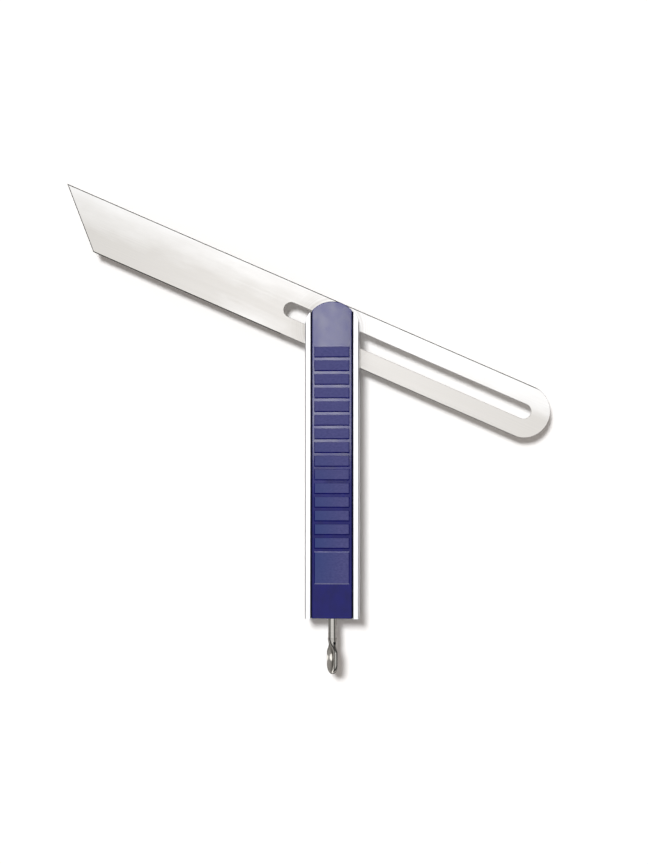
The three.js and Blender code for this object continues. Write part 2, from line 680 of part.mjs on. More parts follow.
function thumbKey() {
  const bore = postAlongY(ROD_RADIUS + RUNNING_PLAY / 2, keyRoot - KEY_BORE_DEPTH, keyRoot + OVERRUN);
  const body = keyBar()
    .intersect(keyThickness())
    .subtract(keyDishes())
    .subtract(bore)
    .subtract(keyPinSolid(RUNNING_PLAY / 2));
  return piece('thumb_key', body, BRIGHT_STEEL);
}

// Assembly

function swingGroup() {
  const group = new THREE.Group();
  group.add(blade(), pivotPin(), pinNut());
  group.rotation.z = THREE.MathUtils.degToRad(BLADE_REST_ANGLE);
  return group;
}

function screwGroup() {
  const group = new THREE.Group();
  group.add(lockRod(), thrustWasher(), rodClip(), thumbKey(), piece('key_pin', keyPinSolid(0), DARK_STEEL));
  group.position.z = rodAxis;
  group.rotation.y = THREE.MathUtils.degToRad(KEY_REST_TURN);
  return group;
}

const slidingBevel = new THREE.Group();
slidingBevel.add(
  handleBody(),
  gripSide('front'),
  gripSide('rear'),
  frictionWasher('front_friction_washer', 1),
  frictionWasher('rear_friction_washer', -1),
  discSpring(),
  seatPlate(),
  rampCollar(),
  wedgeFork(),
  threadedBush(),
  bushDowel(),
  swingGroup(),
  screwGroup(),
);

export default slidingBevel;
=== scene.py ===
# %% [markdown]
# This lesson dresses a sliding bevel: a slotted steel blade pinned in a forked aluminium handle with
# two blue grips, and a small plated key at the butt. The engineering model is already made, so the
# first step loads it. It could be drawn again by eye, but then nothing would fit the joints.

# %% Load the engineering model
import json
import math

import bmesh
import bpy
from bmesh.types import BMEdge, BMFace, BMVert
from mathutils import Matrix, Vector

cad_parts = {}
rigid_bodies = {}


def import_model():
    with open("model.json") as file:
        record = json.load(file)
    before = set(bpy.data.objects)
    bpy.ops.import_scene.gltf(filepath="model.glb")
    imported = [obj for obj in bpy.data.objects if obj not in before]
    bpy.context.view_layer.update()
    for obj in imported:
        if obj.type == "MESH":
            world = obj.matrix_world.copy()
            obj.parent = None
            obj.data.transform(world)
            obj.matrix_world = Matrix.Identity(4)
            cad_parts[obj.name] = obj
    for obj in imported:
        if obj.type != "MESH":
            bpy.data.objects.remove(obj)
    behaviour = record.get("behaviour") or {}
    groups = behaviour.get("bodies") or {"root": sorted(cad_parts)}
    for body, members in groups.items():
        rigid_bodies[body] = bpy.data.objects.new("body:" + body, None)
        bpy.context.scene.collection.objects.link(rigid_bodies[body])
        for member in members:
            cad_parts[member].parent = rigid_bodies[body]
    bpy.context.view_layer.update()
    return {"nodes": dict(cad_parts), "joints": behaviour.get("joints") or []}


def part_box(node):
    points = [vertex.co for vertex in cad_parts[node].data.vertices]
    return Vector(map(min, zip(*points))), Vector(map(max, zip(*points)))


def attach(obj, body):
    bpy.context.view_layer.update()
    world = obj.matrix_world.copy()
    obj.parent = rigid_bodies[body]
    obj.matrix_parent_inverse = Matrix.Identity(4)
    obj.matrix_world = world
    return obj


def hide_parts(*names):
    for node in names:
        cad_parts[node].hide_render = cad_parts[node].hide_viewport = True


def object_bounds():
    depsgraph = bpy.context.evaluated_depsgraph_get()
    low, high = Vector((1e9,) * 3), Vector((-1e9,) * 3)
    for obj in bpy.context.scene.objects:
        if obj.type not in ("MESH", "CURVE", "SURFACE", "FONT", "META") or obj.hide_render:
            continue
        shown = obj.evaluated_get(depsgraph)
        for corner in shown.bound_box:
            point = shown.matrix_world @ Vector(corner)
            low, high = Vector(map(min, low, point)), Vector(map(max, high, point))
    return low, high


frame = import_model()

# %% [markdown]
# Blender works in metres here, and the tool is small, so every size below is written in millimetres
# and multiplied by one unit. The handle's and blade's overall sizes are read from the model instead
# of being typed again, so the two can't drift apart.

# %% Units and overall sizes
MM = 0.001

handle_low, handle_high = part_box("handle_body")
half_width = handle_high.x
thickness = handle_high.z
butt = handle_low.y
dome_top = handle_high.y
dome_centre = dome_top - half_width

print("handle, mm:", [round(v / MM, 2) for v in (half_width * 2, dome_top - butt, thickness)])

# %% [markdown]
# A hex colour is what a paint chart or a photo editor gives, on the sRGB scale, while a shader adds
# light and needs linear numbers. One function turns the first into the second. Another adds a node,
# gives it its settings and plugs in its links, so that each material reads as a short recipe.

# %% Colour and node helpers
SRGB_KNEE = 0.04045


def linear(hex_colour):
    """The linear colour of an sRGB hex such as '2e2f68', with alpha 1."""
    channels = [int(hex_colour[i:i + 2], 16) / 255 for i in (0, 2, 4)]
    lifted = [c / 12.92 if c <= SRGB_KNEE else ((c + 0.055) / 1.055) ** 2.4 for c in channels]
    return (*lifted, 1.0)


def add_node(tree, kind, settings=None, inputs=None):
    """A new shader node. Inputs are values, or another node's output socket to link from."""
    node = tree.nodes.new("ShaderNode" + kind)
    for name, value in (settings or {}).items():
        setattr(node, name, value)
    for name, value in (inputs or {}).items():
        if isinstance(value, bpy.types.NodeSocket):
            tree.links.new(value, node.inputs[name])
        else:
            node.inputs[name].default_value = value
    return node


def new_material(name, **constants):
    """A material with a Principled shader whose sockets hold the constants given."""
    material = bpy.data.materials.new(name)
    material.use_nodes = True
    shader = material.node_tree.nodes["Principled BSDF"]
    for socket, value in constants.items():
        shader.inputs[socket.replace("_", " ")].default_value = value
    return material, material.node_tree, shader


print("linear grey 80:", [round(c, 3) for c in linear("808080")])

# %% [markdown]
# The camera stands almost straight above the tool, as a catalogue photographer's does. Its place was
# solved from the edges of the blade and handle in the photograph: it looks down from 792 mm, from a
# little to the right of the handle, which is why the handle's right side just shows.

# %% Camera
PHOTO_HEIGHT = 864
SENSOR = 36.0
FOCAL_PIXELS = 1659.9
CAMERA_HEIGHT = 792 * MM
CAMERA_CENTRE = (4.81 * MM, 48.74 * MM)
CAMERA_REACH = (10 * MM, 100.0)
TOOL_PITCH, TOOL_YAW, TOOL_ROLL = (math.radians(a) for a in (-1.333, -3.403, 0.050))


def new_object(name, data):
    """An object for a camera, a light or a mesh, put in the scene."""
    made = bpy.data.objects.new(name, data)
    bpy.context.scene.collection.objects.link(made)
    return made


def photo_camera():
    """A camera over the tool, from the tool's place and turn in the camera's view."""
    data = bpy.data.cameras.new("photo_camera")
    data.sensor_width = SENSOR
    data.lens = FOCAL_PIXELS / PHOTO_HEIGHT * SENSOR
    data.clip_start, data.clip_end = CAMERA_REACH
    camera = new_object("photo_camera", data)
    turn = (
        Matrix.Rotation(TOOL_ROLL, 4, "Z")
        @ Matrix.Rotation(TOOL_YAW, 4, "Y")
        @ Matrix.Rotation(TOOL_PITCH, 4, "X")
    )
    place = Matrix.Translation((-CAMERA_CENTRE[0], -CAMERA_CENTRE[1], CAMERA_HEIGHT))
    camera.matrix_world = turn.inverted() @ place
    return camera


camera = photo_camera()
bpy.context.scene.camera = camera
print("camera at, mm:", [round(v / MM) for v in camera.matrix_world.translation])

# %% [markdown]
# The tool lies on its rear tiles, which are its lowest faces, on a plain white table. The table
# could be brought to the photograph's white by brighter lamps, but they would bleach the tool. So it
# glows a little for the camera alone, and the shadow that falls on it is real.

# %% Floor
FLOOR_HALF = 6000 * MM
FLOOR_WHITE = "fbfbfb"
FLOOR_LIFT = 0.03
FLOOR_MIRRORED = 0.62
FLOOR_GAP = 0.02 * MM
floor_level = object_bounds()[0].z - FLOOR_GAP


def white_table_finish():
    """Matt white card, lifted a little for the camera, and grey in mirrors."""
    material, tree, shader = new_material("white_card", Roughness=0.9, Specular_IOR_Level=0.0,
                                          Emission_Color=(1, 1, 1, 1))
    path = add_node(tree, "LightPath")
    colour = add_node(tree, "Mix", {"data_type": "RGBA"},
                      {0: path.outputs["Is Glossy Ray"], 6: linear(FLOOR_WHITE),
                       7: (FLOOR_MIRRORED, FLOOR_MIRRORED, FLOOR_MIRRORED, 1)})
    lift = add_node(tree, "Math", {"operation": "MULTIPLY"},
                    {0: path.outputs["Is Camera Ray"], 1: FLOOR_LIFT})
    tree.links.new(colour.outputs[2], shader.inputs["Base Color"])
    tree.links.new(lift.outputs[0], shader.inputs["Emission Strength"])
    return material


def table():
    """The plain top that the tool lies on."""
    bm = bmesh.new()
    bmesh.ops.create_grid(bm, x_segments=1, y_segments=1, size=FLOOR_HALF)
    bmesh.ops.translate(bm, verts=bm.verts, vec=(0, 0, floor_level))
    mesh = bpy.data.meshes.new("table")
    bm.to_mesh(mesh)
    bm.free()
    mesh.materials.append(white_table_finish())
    top = new_object("table", mesh)


table()
print("table level, mm:", round(floor_level / MM, 2))

# %% [markdown]
# The light is plain: a white tent that fills the shadows, one soft lamp from the upper left that
# casts them, and a strip light over the handle. Polished and satin surfaces show what is around
# them. So the tent is white overhead, which keeps the flat metal pale, and dark towards the
# horizon, which draws each rounded edge as a thin grey line. The strip is what makes the glossy
# plastic near the pivot look lavender: it is a mirror image of a lamp, not a paler plastic. Last,
# the key gets two glints, as a photographer would kick them in: a chip of bright card beside it is
# mirrored in its dish, and a pin spot on the white table, where it can't be seen, lights its tip.

# %% Light sizes and strengths
ROOM_FILL = 0.31
FILL_COLOUR = "fff4ec"
ZENITH_GLOW = 1.15
HORIZON_GLOW = 0.10
TENT_EDGE = (0.45, 0.92)
LAMP_STRENGTH = 2.56
LAMP_SPREAD = math.radians(12)
LAMP_LEAN = math.radians(18)
LAMP_TURN = math.radians(207)
STRIP_SIZE = (56 * MM, 205 * MM)
STRIP_PLACE = (-64 * MM, 52.5 * MM, 1100 * MM)
STRIP_WATTS = 0.54
STRIP_COLOUR = "f2f2f9"
PIN_SPOT_PLACE = (-32 * MM, -180 * MM, 300 * MM)
PIN_SPOT_CONE = math.radians(6.9)
PIN_SPOT_BLEND = 0.3
PIN_SPOT_RADIUS = 0.5 * MM
PIN_SPOT_WATTS = 13.0
CARD_PLACE = (-7.3 * MM, -155.3 * MM, 9.1 * MM)
CARD_BACK = (-0.862, -0.133, -0.489)
CARD_SIZE = (2.6 * MM, 3.2 * MM)
CARD_GLOW = 3.0

print("card, mm:", [round(v / MM, 1) for v in CARD_SIZE])


# %% White tent
def room():
    """A world that fills softly, mirrors as a tent and is white to the camera."""
    world = bpy.data.worlds.new("white_tent")
    world.use_nodes = True
    tree = world.node_tree
    background = tree.nodes["Background"]
    path = add_node(tree, "LightPath")
    seen = add_node(tree, "Math", {"operation": "MAXIMUM"},
                    {0: path.outputs["Is Camera Ray"], 1: path.outputs["Is Transmission Ray"]})
    direction = add_node(tree, "TexCoord").outputs["Generated"]
    height = add_node(tree, "SeparateXYZ", None, {"Vector": direction}).outputs["Z"]
    tent = add_node(tree, "MapRange", {"interpolation_type": "SMOOTHSTEP"},
                    {"Value": height, "From Min": TENT_EDGE[0], "From Max": TENT_EDGE[1],
                     "To Min": HORIZON_GLOW, "To Max": ZENITH_GLOW})
    mirrored = add_node(tree, "Mix", None,
                        {0: path.outputs["Is Glossy Ray"], 2: ROOM_FILL, 3: tent.outputs["Result"]})
    strength = add_node(tree, "Mix", None,
                        {0: seen.outputs[0], 2: mirrored.outputs[0], 3: 1.0})
    not_fill = add_node(tree, "Math", {"operation": "MAXIMUM"},
                        {0: seen.outputs[0], 1: path.outputs["Is Glossy Ray"]})
    colour = add_node(tree, "Mix", {"data_type": "RGBA"},
                      {0: not_fill.outputs[0], 6: linear(FILL_COLOUR), 7: (1, 1, 1, 1)})
    tree.links.new(colour.outputs[2], background.inputs["Color"])
    tree.links.new(strength.outputs[0], background.inputs["Strength"])
    world.cycles.sampling_method = "NONE"
    bpy.context.scene.world = world


room()
print("world:", bpy.context.scene.world.name)


# %% Lamps
def new_light(name, kind, **settings):
    """A light whose data has these settings."""
    data = bpy.data.lights.new(name, kind)
    for setting, value in settings.items():
        setattr(data, setting, value)
    return new_object(name, data)


def upper_left_lamp():
    """The lamp that casts the shadows, not seen in mirrors."""
    lamp = new_light("upper_left_lamp", "SUN", energy=LAMP_STRENGTH, angle=LAMP_SPREAD)
    turn = Matrix.Rotation(LAMP_TURN, 3, "Z") @ Matrix.Rotation(LAMP_LEAN, 3, "X")
    lamp.rotation_euler = turn.to_euler()
    lamp.visible_glossy = False


def strip_light():
    """A lamp that only mirrors show."""
    strip = new_light("strip_light", "AREA", shape="RECTANGLE", size=STRIP_SIZE[0],
                      size_y=STRIP_SIZE[1], energy=STRIP_WATTS, color=linear(STRIP_COLOUR)[:3])
    strip.location = STRIP_PLACE
    strip.visible_camera = False
    strip.visible_diffuse = False


upper_left_lamp()
strip_light()
print("strip light above the table, mm:", round(STRIP_PLACE[2] / MM))


# %% Glints for the key
def pin_spot():
    """A narrow beam on the table beside the key."""
    spot = new_light("pin_spot", "SPOT", energy=PIN_SPOT_WATTS, spot_size=PIN_SPOT_CONE,
                     spot_blend=PIN_SPOT_BLEND, shadow_soft_size=PIN_SPOT_RADIUS)
    spot.location = PIN_SPOT_PLACE


def key_card():
    """A chip of card for the key's dish to mirror, as bright as its glow says."""
    area = math.pi / 4 * CARD_SIZE[0] * CARD_SIZE[1]
    card = new_light("key_card", "AREA", shape="ELLIPSE", size=CARD_SIZE[0], size_y=CARD_SIZE[1],
                     energy=CARD_GLOW * math.pi * area)
    card.location = CARD_PLACE
    card.rotation_euler = Vector(CARD_BACK).to_track_quat("Z", "Y").to_euler()
    card.visible_camera = False
    card.visible_diffuse = False


pin_spot()
key_card()
bpy.context.scene.view_settings.view_transform = "Standard"

# %% [markdown]
# Every piece below is modelled with mesh operators, the ones behind the editor's own tools: a few
# points are joined, spun and extruded into a solid, and the edges that a file or a mould would have
# broken are bevelled. The helpers here only make that shorter: they turn an arc, extrude a region
# or break a set of edges.

# %% Modelling helpers
ROUND_STEPS = 48
SHARP_ANGLE = math.radians(32)
SMOOTH_LIMIT = math.radians(12)
COPLANAR = math.radians(0.5)
# How much of a face's unit normal lies along an axis: FLAT where they agree, SLANTED where it leans.
FLAT = 0.99
SLANTED = 0.5
WELD = 0.002 * MM
UP = Vector((0, 0, 1))


def spun(bm, geometry, centre, angle):
    """Turns vertices and edges round an upright axis, and returns what stands at the far end."""
    made = bmesh.ops.spin(bm, geom=geometry, cent=centre, axis=UP, angle=angle, steps=ROUND_STEPS)
    return made["geom_last"]


def only(kind, geometry):
    """The vertices, edges or faces among mixed geometry."""
    return [g for g in geometry if isinstance(g, kind)]


def extruded(bm, faces, vector):
    """Extrudes a region of faces, and returns the faces of its new end."""
    new = bmesh.ops.extrude_face_region(bm, geom=faces)["geom"]
    bmesh.ops.translate(bm, verts=only(BMVert, new), vec=vector)
    return only(BMFace, new)


def break_edges(bm, geometry, size, segments=2, affect="EDGES"):
    """Bevels edges, as a file or a deburring tool breaks them, or the corners of an outline."""
    bmesh.ops.bevel(bm, geom=geometry, offset=size, affect=affect, segments=segments,
                    profile=0.5, material=-1, clamp_overlap=True)


def face_outward(bm):
    """Welds points that meet, then turns every face outward."""
    bmesh.ops.remove_doubles(bm, verts=bm.verts, dist=WELD)
    bmesh.ops.recalc_face_normals(bm, faces=bm.faces)


def closed_loop(bm, points):
    """Edges through a few points and back to the first."""
    verts = [bm.verts.new(point) for point in points]
    return [bm.edges.new(pair) for pair in zip(verts, verts[1:] + verts[:1])]


print("a full turn takes", ROUND_STEPS, "steps; finest edge, mm:", WELD / MM)


# %% Gentle changes
def eased(value, start, end):
    """0 before start, 1 after end, and a smooth step between."""
    t = min(max((value - start) / (end - start), 0), 1)
    return t * t * (3 - 2 * t)


def blended(start, end, share):
    """A value part of the way from one to another."""
    return start + (end - start) * share


print("a quarter of the way, eased:", eased(0.25, 0, 1))

# %% [markdown]
# A finished mesh becomes an object at the origin, with its place in its mesh, so that patterns and
# joints find it there. Flat faces are given the lead in its smooth shading, or the wide ones would
# look dented beside their small bevels. It could be parented to its body by hand, but the frame does
# that the same way for every piece. Its finish comes later.

# %% Pieces and their dress
def plain_object(name, bm):
    """A bare object, for a piece or for a cutting tool."""
    mesh = bpy.data.meshes.new(name)
    bm.to_mesh(mesh)
    bm.free()
    return new_object(name, mesh)


def make_piece(name, bm, body, stands_for):
    """The finished mesh as an object at the origin, riding on its body."""
    piece = plain_object(name, bm)
    piece.data.polygons.foreach_set("use_smooth", [True] * len(piece.data.polygons))
    piece.data.set_sharp_from_angle(angle=SMOOTH_LIMIT)
    weighted = piece.modifiers.new("flat_faces_lead", "WEIGHTED_NORMAL")
    weighted.mode = "FACE_AREA"
    weighted.keep_sharp = True
    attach(piece, body)
    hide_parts(*stands_for)
    print(name, len(piece.data.polygons), "faces")
    return piece


def dress(piece, *materials):
    """Gives a piece its finishes. A node that came with the model loses its plain one first."""
    if piece.data.materials:
        piece.data.materials.clear()
    for material in materials:
        piece.data.materials.append(material)
    print(piece.name, "in", ", ".join(material.name for material in materials))


print("sharp from, degrees:", round(math.degrees(SMOOTH_LIMIT)))

# %% [markdown]
# The blade is 1.6 mm stainless strip, blanked to its outline, with a slot milled down its middle.
# It could be a boolean of two slabs, but spinning one edge round the end gives clean quads that
# bevel evenly: the half ring comes first, then its two ends are drawn out into the legs beside the
# slot, and one flat face closes the rest up to the slanted tip.

# %% Blade sizes, read in the blade's own direction
blade_slide = next(j for j in frame["joints"] if j["name"] == "blade_slide")
blade_along = Vector(blade_slide["axis"])
blade_across = UP.cross(blade_along)
blade_points = [v.co for v in frame["nodes"]["blade"].data.vertices]
blade_tip = min(p.dot(blade_along) for p in blade_points)
blade_far = max(p.dot(blade_along) for p in blade_points)
blade_half = max(p.dot(blade_across) for p in blade_points)
blade_bottom, blade_top = (corner.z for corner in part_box("blade"))

SLOT_RADIUS = 3.55 * MM
SLOT_INNER = -21.6 * MM
SLOT_BREAK = 0.15 * MM
BLADE_EDGE_BREAK = 0.4 * MM
ROUND_END_BREAK = 0.1 * MM
BREAK_FADE = 4.0 * MM
BREAK_REACH = 1.5
blade_turn = math.atan2(blade_along.y, blade_along.x)
slot_outer = blade_far - blade_half
mid_blade = (blade_bottom + blade_top) / 2

print("blade, mm:", [round(v / MM, 2) for v in (blade_tip, blade_far, blade_half, blade_top)])


# %% Blade outline
def slot_distance(point):
    """How far a point lies from the slot's centre line."""
    beyond = max(SLOT_INNER - point.x, 0, point.x - slot_outer)
    return math.hypot(beyond, point.y)


def blade_plan():
    """The blade's flat underside in its own direction, X from the tip to the round end."""
    bm = bmesh.new()
    inner = bm.verts.new((slot_outer, -SLOT_RADIUS, blade_bottom))
    outer = bm.verts.new((slot_outer, -blade_half, blade_bottom))
    spoke = bm.edges.new((inner, outer))
    end = spun(bm, [inner, outer, spoke], (slot_outer, 0, 0), math.pi)
    spokes = [spoke, *only(BMEdge, end)]
    legs = bmesh.ops.extrude_edge_only(bm, edges=spokes)["geom"]
    corners = sorted(only(BMVert, legs), key=lambda v: v.co.y)
    bmesh.ops.translate(bm, verts=corners, vec=(SLOT_INNER - slot_outer, 0, 0))
    low_outer, low_inner, high_inner, high_outer = corners
    slot_end = spun(bm, [high_inner], (SLOT_INNER, 0, 0), math.pi)
    slot_edges = [e for e in bm.edges if not e.link_faces]
    tip = bm.verts.new((blade_tip, blade_half, blade_bottom))
    heel = bm.verts.new((blade_tip + blade_half * 2, -blade_half, blade_bottom))
    sides = [bm.edges.new(pair) for pair in ((high_outer, tip), (tip, heel), (heel, low_outer))]
    leg_ends = [e for e in bm.edges if len(e.link_faces) == 1 and all(v in corners for v in e.verts)]
    meeting = [low_inner, *only(BMVert, slot_end)]
    bmesh.ops.pointmerge(bm, verts=meeting, merge_co=low_inner.co)
    bmesh.ops.contextual_create(bm, geom=[e for e in slot_edges if e.is_valid] + sides + leg_ends)
    return bm


outline = blade_plan()
print("blade outline:", len(outline.faces), "faces,", len(outline.verts), "points")


# %% Blade solid
# The pressed edge's finish is darkened to paint a thin shade line round the blade.
GROUND, BLANKED_PAINTED_SHADE = range(2)


def sharpen_round_end(bm):
    """Narrows the outer break along the round end, where the photograph shows no dark line."""
    for v in bm.verts:
        from_centre = Vector((v.co.x - slot_outer, v.co.y))
        if v.co.x < slot_outer or from_centre.length < blade_half - BLADE_EDGE_BREAK * BREAK_REACH:
            continue
        fade = eased(v.co.x, slot_outer, slot_outer + BREAK_FADE)
        size = blended(BLADE_EDGE_BREAK, ROUND_END_BREAK, fade)
        if from_centre.length < blade_half - WELD:
            v.co.x, v.co.y = from_centre.normalized() * (blade_half - size) + Vector((slot_outer, 0))
        else:
            v.co.z = blade_top - size if v.co.z > mid_blade else blade_bottom + size


def sort_blade_faces(bm):
    """Marks each face as ground, or as the pressed edge with its painted dark line."""
    for face in bm.faces:
        centre = face.calc_center_median()
        level = abs(face.normal.z)
        at_slot = slot_distance(centre) < SLOT_RADIUS + SLOT_BREAK
        # The break under the slotted leg keeps the ground finish and none of the painted dark line.
        under_leg = centre.x > SLOT_INNER and face.normal.y < -SLANTED and level > SLANTED
        face.material_index = GROUND if level > FLAT or at_slot or under_leg else BLANKED_PAINTED_SHADE


def blade_solid(bm):
    """The outline made thick, its edges broken, turned to where the photograph shows it."""
    extruded(bm, bm.faces[:], UP * (blade_top - blade_bottom))
    face_outward(bm)
    rims = [e for e in bm.edges if abs(e.verts[0].co.z - e.verts[1].co.z) < WELD
            and e.calc_face_angle() > SHARP_ANGLE]
    slot_rims = [e for e in rims if slot_distance(e.verts[0].co) < SLOT_RADIUS + WELD]
    outer_rims = [e for e in rims if slot_distance(e.verts[0].co) > SLOT_RADIUS + WELD]
    break_edges(bm, slot_rims, SLOT_BREAK)
    break_edges(bm, [e for e in outer_rims if e.is_valid], BLADE_EDGE_BREAK, segments=1)
    sharpen_round_end(bm)
    sort_blade_faces(bm)
    turn = Matrix((blade_along, blade_across, UP)).transposed().to_4x4()
    bmesh.ops.transform(bm, matrix=turn, verts=bm.verts)
    return bm


blade_strip = make_piece("blade_strip", blade_solid(outline), "blade", ["blade"])

# %% [markdown]
# The handle starts as an aluminium extrusion with a T channel in its front and rear faces. It is
# then machined, and the mesh follows the same order: the section is drawn once for the right half
# and mirrored, drawn out along Y, and cut by a round end, the holes, a saw slot and a cavity for
# the lock. The cuts are Boolean modifiers, because that is what machining does to a bar.

# %% Handle sizes
CORNER = 0.7 * MM
CORNER_STEPS = 8
CHANNEL_HALF = 10.0 * MM
LIP = 1.5 * MM
UNDERCUT = 1.1 * MM
UNDERCUT_REACH = 0.7 * MM
MOUTH_BREAK = 0.18 * MM
MOUTH_STEPS = 3
SAW_GAP = 2.0 * MM
BUTT_BLOCK = 11.5 * MM
CAVITY_HALF = 6.3 * MM
CAVITY_FLOOR = 12.1 * MM
CAVITY_NOSE = 9.0 * MM
CAVITY_WALL = 0.9 * MM
OVERRUN = 3.0 * MM
HANDLE_BREAK = 0.12 * MM
WASHER_SEAT = 7.1 * MM
SEAT_HALF = 1.4 * MM
HEAD_POCKET = 6.5 * MM
HEAD_FLOOR = 4.6 * MM
NECK_BORE = 4.1 * MM
SHANK_BORE = 3.1 * MM
BUSH_BORE = 3.0 * MM
ROD_BORE = 2.05 * MM
saw_end = butt + BUTT_BLOCK
mid_plane = thickness / 2
channel_floor = thickness - LIP - UNDERCUT
rod_axis = (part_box("key_pin")[0].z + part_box("key_pin")[1].z) / 2

print("rod axis above the rear face, mm:", round(rod_axis / MM, 2))


# %% Cutting tools
def box_tool(x_range, y_range, z_range):
    """A square-cornered tool between these limits."""
    bm = bmesh.new()
    made = bmesh.ops.create_cube(bm, size=1)
    sizes = [high - low for low, high in (x_range, y_range, z_range)]
    middle = [(high + low) / 2 for low, high in (x_range, y_range, z_range)]
    bmesh.ops.scale(bm, verts=made["verts"], vec=sizes)
    bmesh.ops.translate(bm, verts=made["verts"], vec=middle)
    return plain_object("box_tool", bm)


def round_tool(radius, length, place):
    """A cylinder along Z, moved and turned by a matrix."""
    bm = bmesh.new()
    bmesh.ops.create_cone(bm, cap_ends=True, segments=ROUND_STEPS, radius1=radius, radius2=radius,
                          depth=length, matrix=place)
    return plain_object("round_tool", bm)


def drill(radius, low, high):
    """A round tool standing along the pivot."""
    return round_tool(radius, high - low, Matrix.Translation((0, 0, (high + low) / 2)))


def long_drill(radius, low, high):
    """A round tool lying along the lock rod."""
    lie = Matrix.Translation((0, (high + low) / 2, rod_axis)) @ Matrix.Rotation(math.pi / 2, 4, "X")
    return round_tool(radius, high - low, lie)


bores = [WASHER_SEAT, HEAD_POCKET, NECK_BORE, SHANK_BORE, BUSH_BORE, ROD_BORE]
print("bores across, mm:", [round(2 * radius / MM, 2) for radius in bores])


# %% Domed bar
def domed_prism(half, radius, low_end, low, high):
    """A long bar along Y whose far end is an arc about the handle's round end."""
    bm = bmesh.new()
    lift = math.sqrt(max(radius ** 2 - half ** 2, 0))
    start = bm.verts.new((half, dome_centre + lift, low))
    sweep = math.pi - 2 * math.atan2(lift, half)
    end = only(BMVert, spun(bm, [start], (0, dome_centre, low), sweep))[0]
    corners = [bm.verts.new((side * half, low_end, low)) for side in (-1, 1)]
    for pair in ((end, corners[0]), corners, (corners[1], start)):
        bm.edges.new(pair)
    bmesh.ops.contextual_create(bm, geom=bm.edges[:])
    extruded(bm, bm.faces[:], UP * (high - low))
    face_outward(bm)
    return bm


print("domes turn about y, mm:", round(dome_centre / MM, 2))


# %% Boolean cuts
def machined(bm, steps):
    """Cuts a mesh by each tool in turn, and returns the mesh that is left."""
    work = plain_object("work", bm)
    tools = []
    for operation, tool in steps:
        cut = work.modifiers.new(operation.lower(), "BOOLEAN")
        cut.solver = "EXACT"
        cut.operation = operation
        cut.object = tool
        tools.append(tool)
    bpy.context.view_layer.update()
    left = bmesh.new()
    left.from_object(work, bpy.context.evaluated_depsgraph_get())
    for used in (work, *tools):
        bpy.data.objects.remove(used)
    bmesh.ops.remove_doubles(left, verts=left.verts, dist=WELD)
    bmesh.ops.dissolve_limit(left, angle_limit=COPLANAR, verts=left.verts, edges=left.edges,
                             use_dissolve_boundaries=False)
    return left


print("faces merge when they turn less than, degrees:", round(math.degrees(COPLANAR), 1))


# %% Extruded section
def extruded_bar():
    """The right half of the section in X and Z, mirrored, and drawn out along Y."""
    bm = bmesh.new()
    under = CHANNEL_HALF + UNDERCUT_REACH
    lower = [(0, LIP + UNDERCUT), (under, LIP + UNDERCUT), (under, LIP), (CHANNEL_HALF, LIP),
             (CHANNEL_HALF, 0), (half_width, 0)]
    upper = [(x, thickness - z) for x, z in reversed(lower)]
    outline = closed_loop(bm, [(x, butt, z) for x, z in lower + upper])
    bmesh.ops.contextual_create(bm, geom=outline)
    rounds = [v for v in bm.verts if v.co.x > half_width - WELD]
    break_edges(bm, rounds, CORNER, CORNER_STEPS, affect="VERTICES")
    mouths = [v for v in bm.verts if abs(v.co.x - CHANNEL_HALF) < WELD
              and abs(v.co.z - mid_plane) > mid_plane - WELD]
    break_edges(bm, mouths, MOUTH_BREAK, MOUTH_STEPS, affect="VERTICES")
    bmesh.ops.mirror(bm, geom=bm.verts[:] + bm.edges[:] + bm.faces[:], axis="X", merge_dist=WELD)
    seam = [e for e in bm.edges if all(abs(v.co.x) < WELD for v in e.verts)]
    bmesh.ops.dissolve_edges(bm, edges=seam, use_verts=True)
    extruded(bm, bm.faces[:], (0, dome_top - butt + OVERRUN, 0))
    face_outward(bm)
    return bm


bar = extruded_bar()
print("bar:", len(bar.faces), "faces")


# %% Handle solid
def machined_handle(bar):
    """The bar after each cut, with its sharp edges broken."""
    wide = half_width + OVERRUN
    round_end = domed_prism(half_width, half_width, butt - OVERRUN, -OVERRUN, thickness + OVERRUN)
    cuts = [
        drill(WASHER_SEAT, mid_plane - SEAT_HALF, mid_plane + SEAT_HALF),
        drill(HEAD_POCKET, -OVERRUN, HEAD_FLOOR),
        drill(NECK_BORE, -OVERRUN, mid_plane),
        drill(SHANK_BORE, mid_plane, thickness),
        long_drill(BUSH_BORE, butt - OVERRUN, saw_end),
        long_drill(ROD_BORE, butt - OVERRUN, saw_end + OVERRUN),
        box_tool((-wide, wide), (saw_end, dome_top + OVERRUN),
                 (mid_plane - SAW_GAP / 2, mid_plane + SAW_GAP / 2)),
        box_tool((-CAVITY_HALF, CAVITY_HALF), (saw_end + CAVITY_WALL, CAVITY_NOSE),
                 (CAVITY_FLOOR, channel_floor + UNDERCUT)),
    ]
    left = machined(bar, [("INTERSECT", plain_object("round_end", round_end)),
                          *(("DIFFERENCE", tool) for tool in cuts)])
    sharp = [e for e in left.edges if e.is_manifold and e.calc_face_angle() > SHARP_ANGLE]
    # Bevel gives every edge only what the shortest one allows, a few thousandths of a millimetre.
    break_edges(left, sharp, HANDLE_BREAK)
    return left


handle_extrusion = make_piece("handle_extrusion", machined_handle(bar), "handle",
                              ["handle_body"])

# %% [markdown]
# Each grip is an injection moulding that slides along the channel: a thin flange runs under the
# rails, and a raised body stands between them with a dark groove either side. Its face carries
# fifteen low tiles and one long plain plate. They could be boxes laid on it, but cutting their
# outlines into the one face and lifting them leaves a single skin, as in a real moulding. One
# moulding is used twice, front and rear, which is how the maker would save a tool.

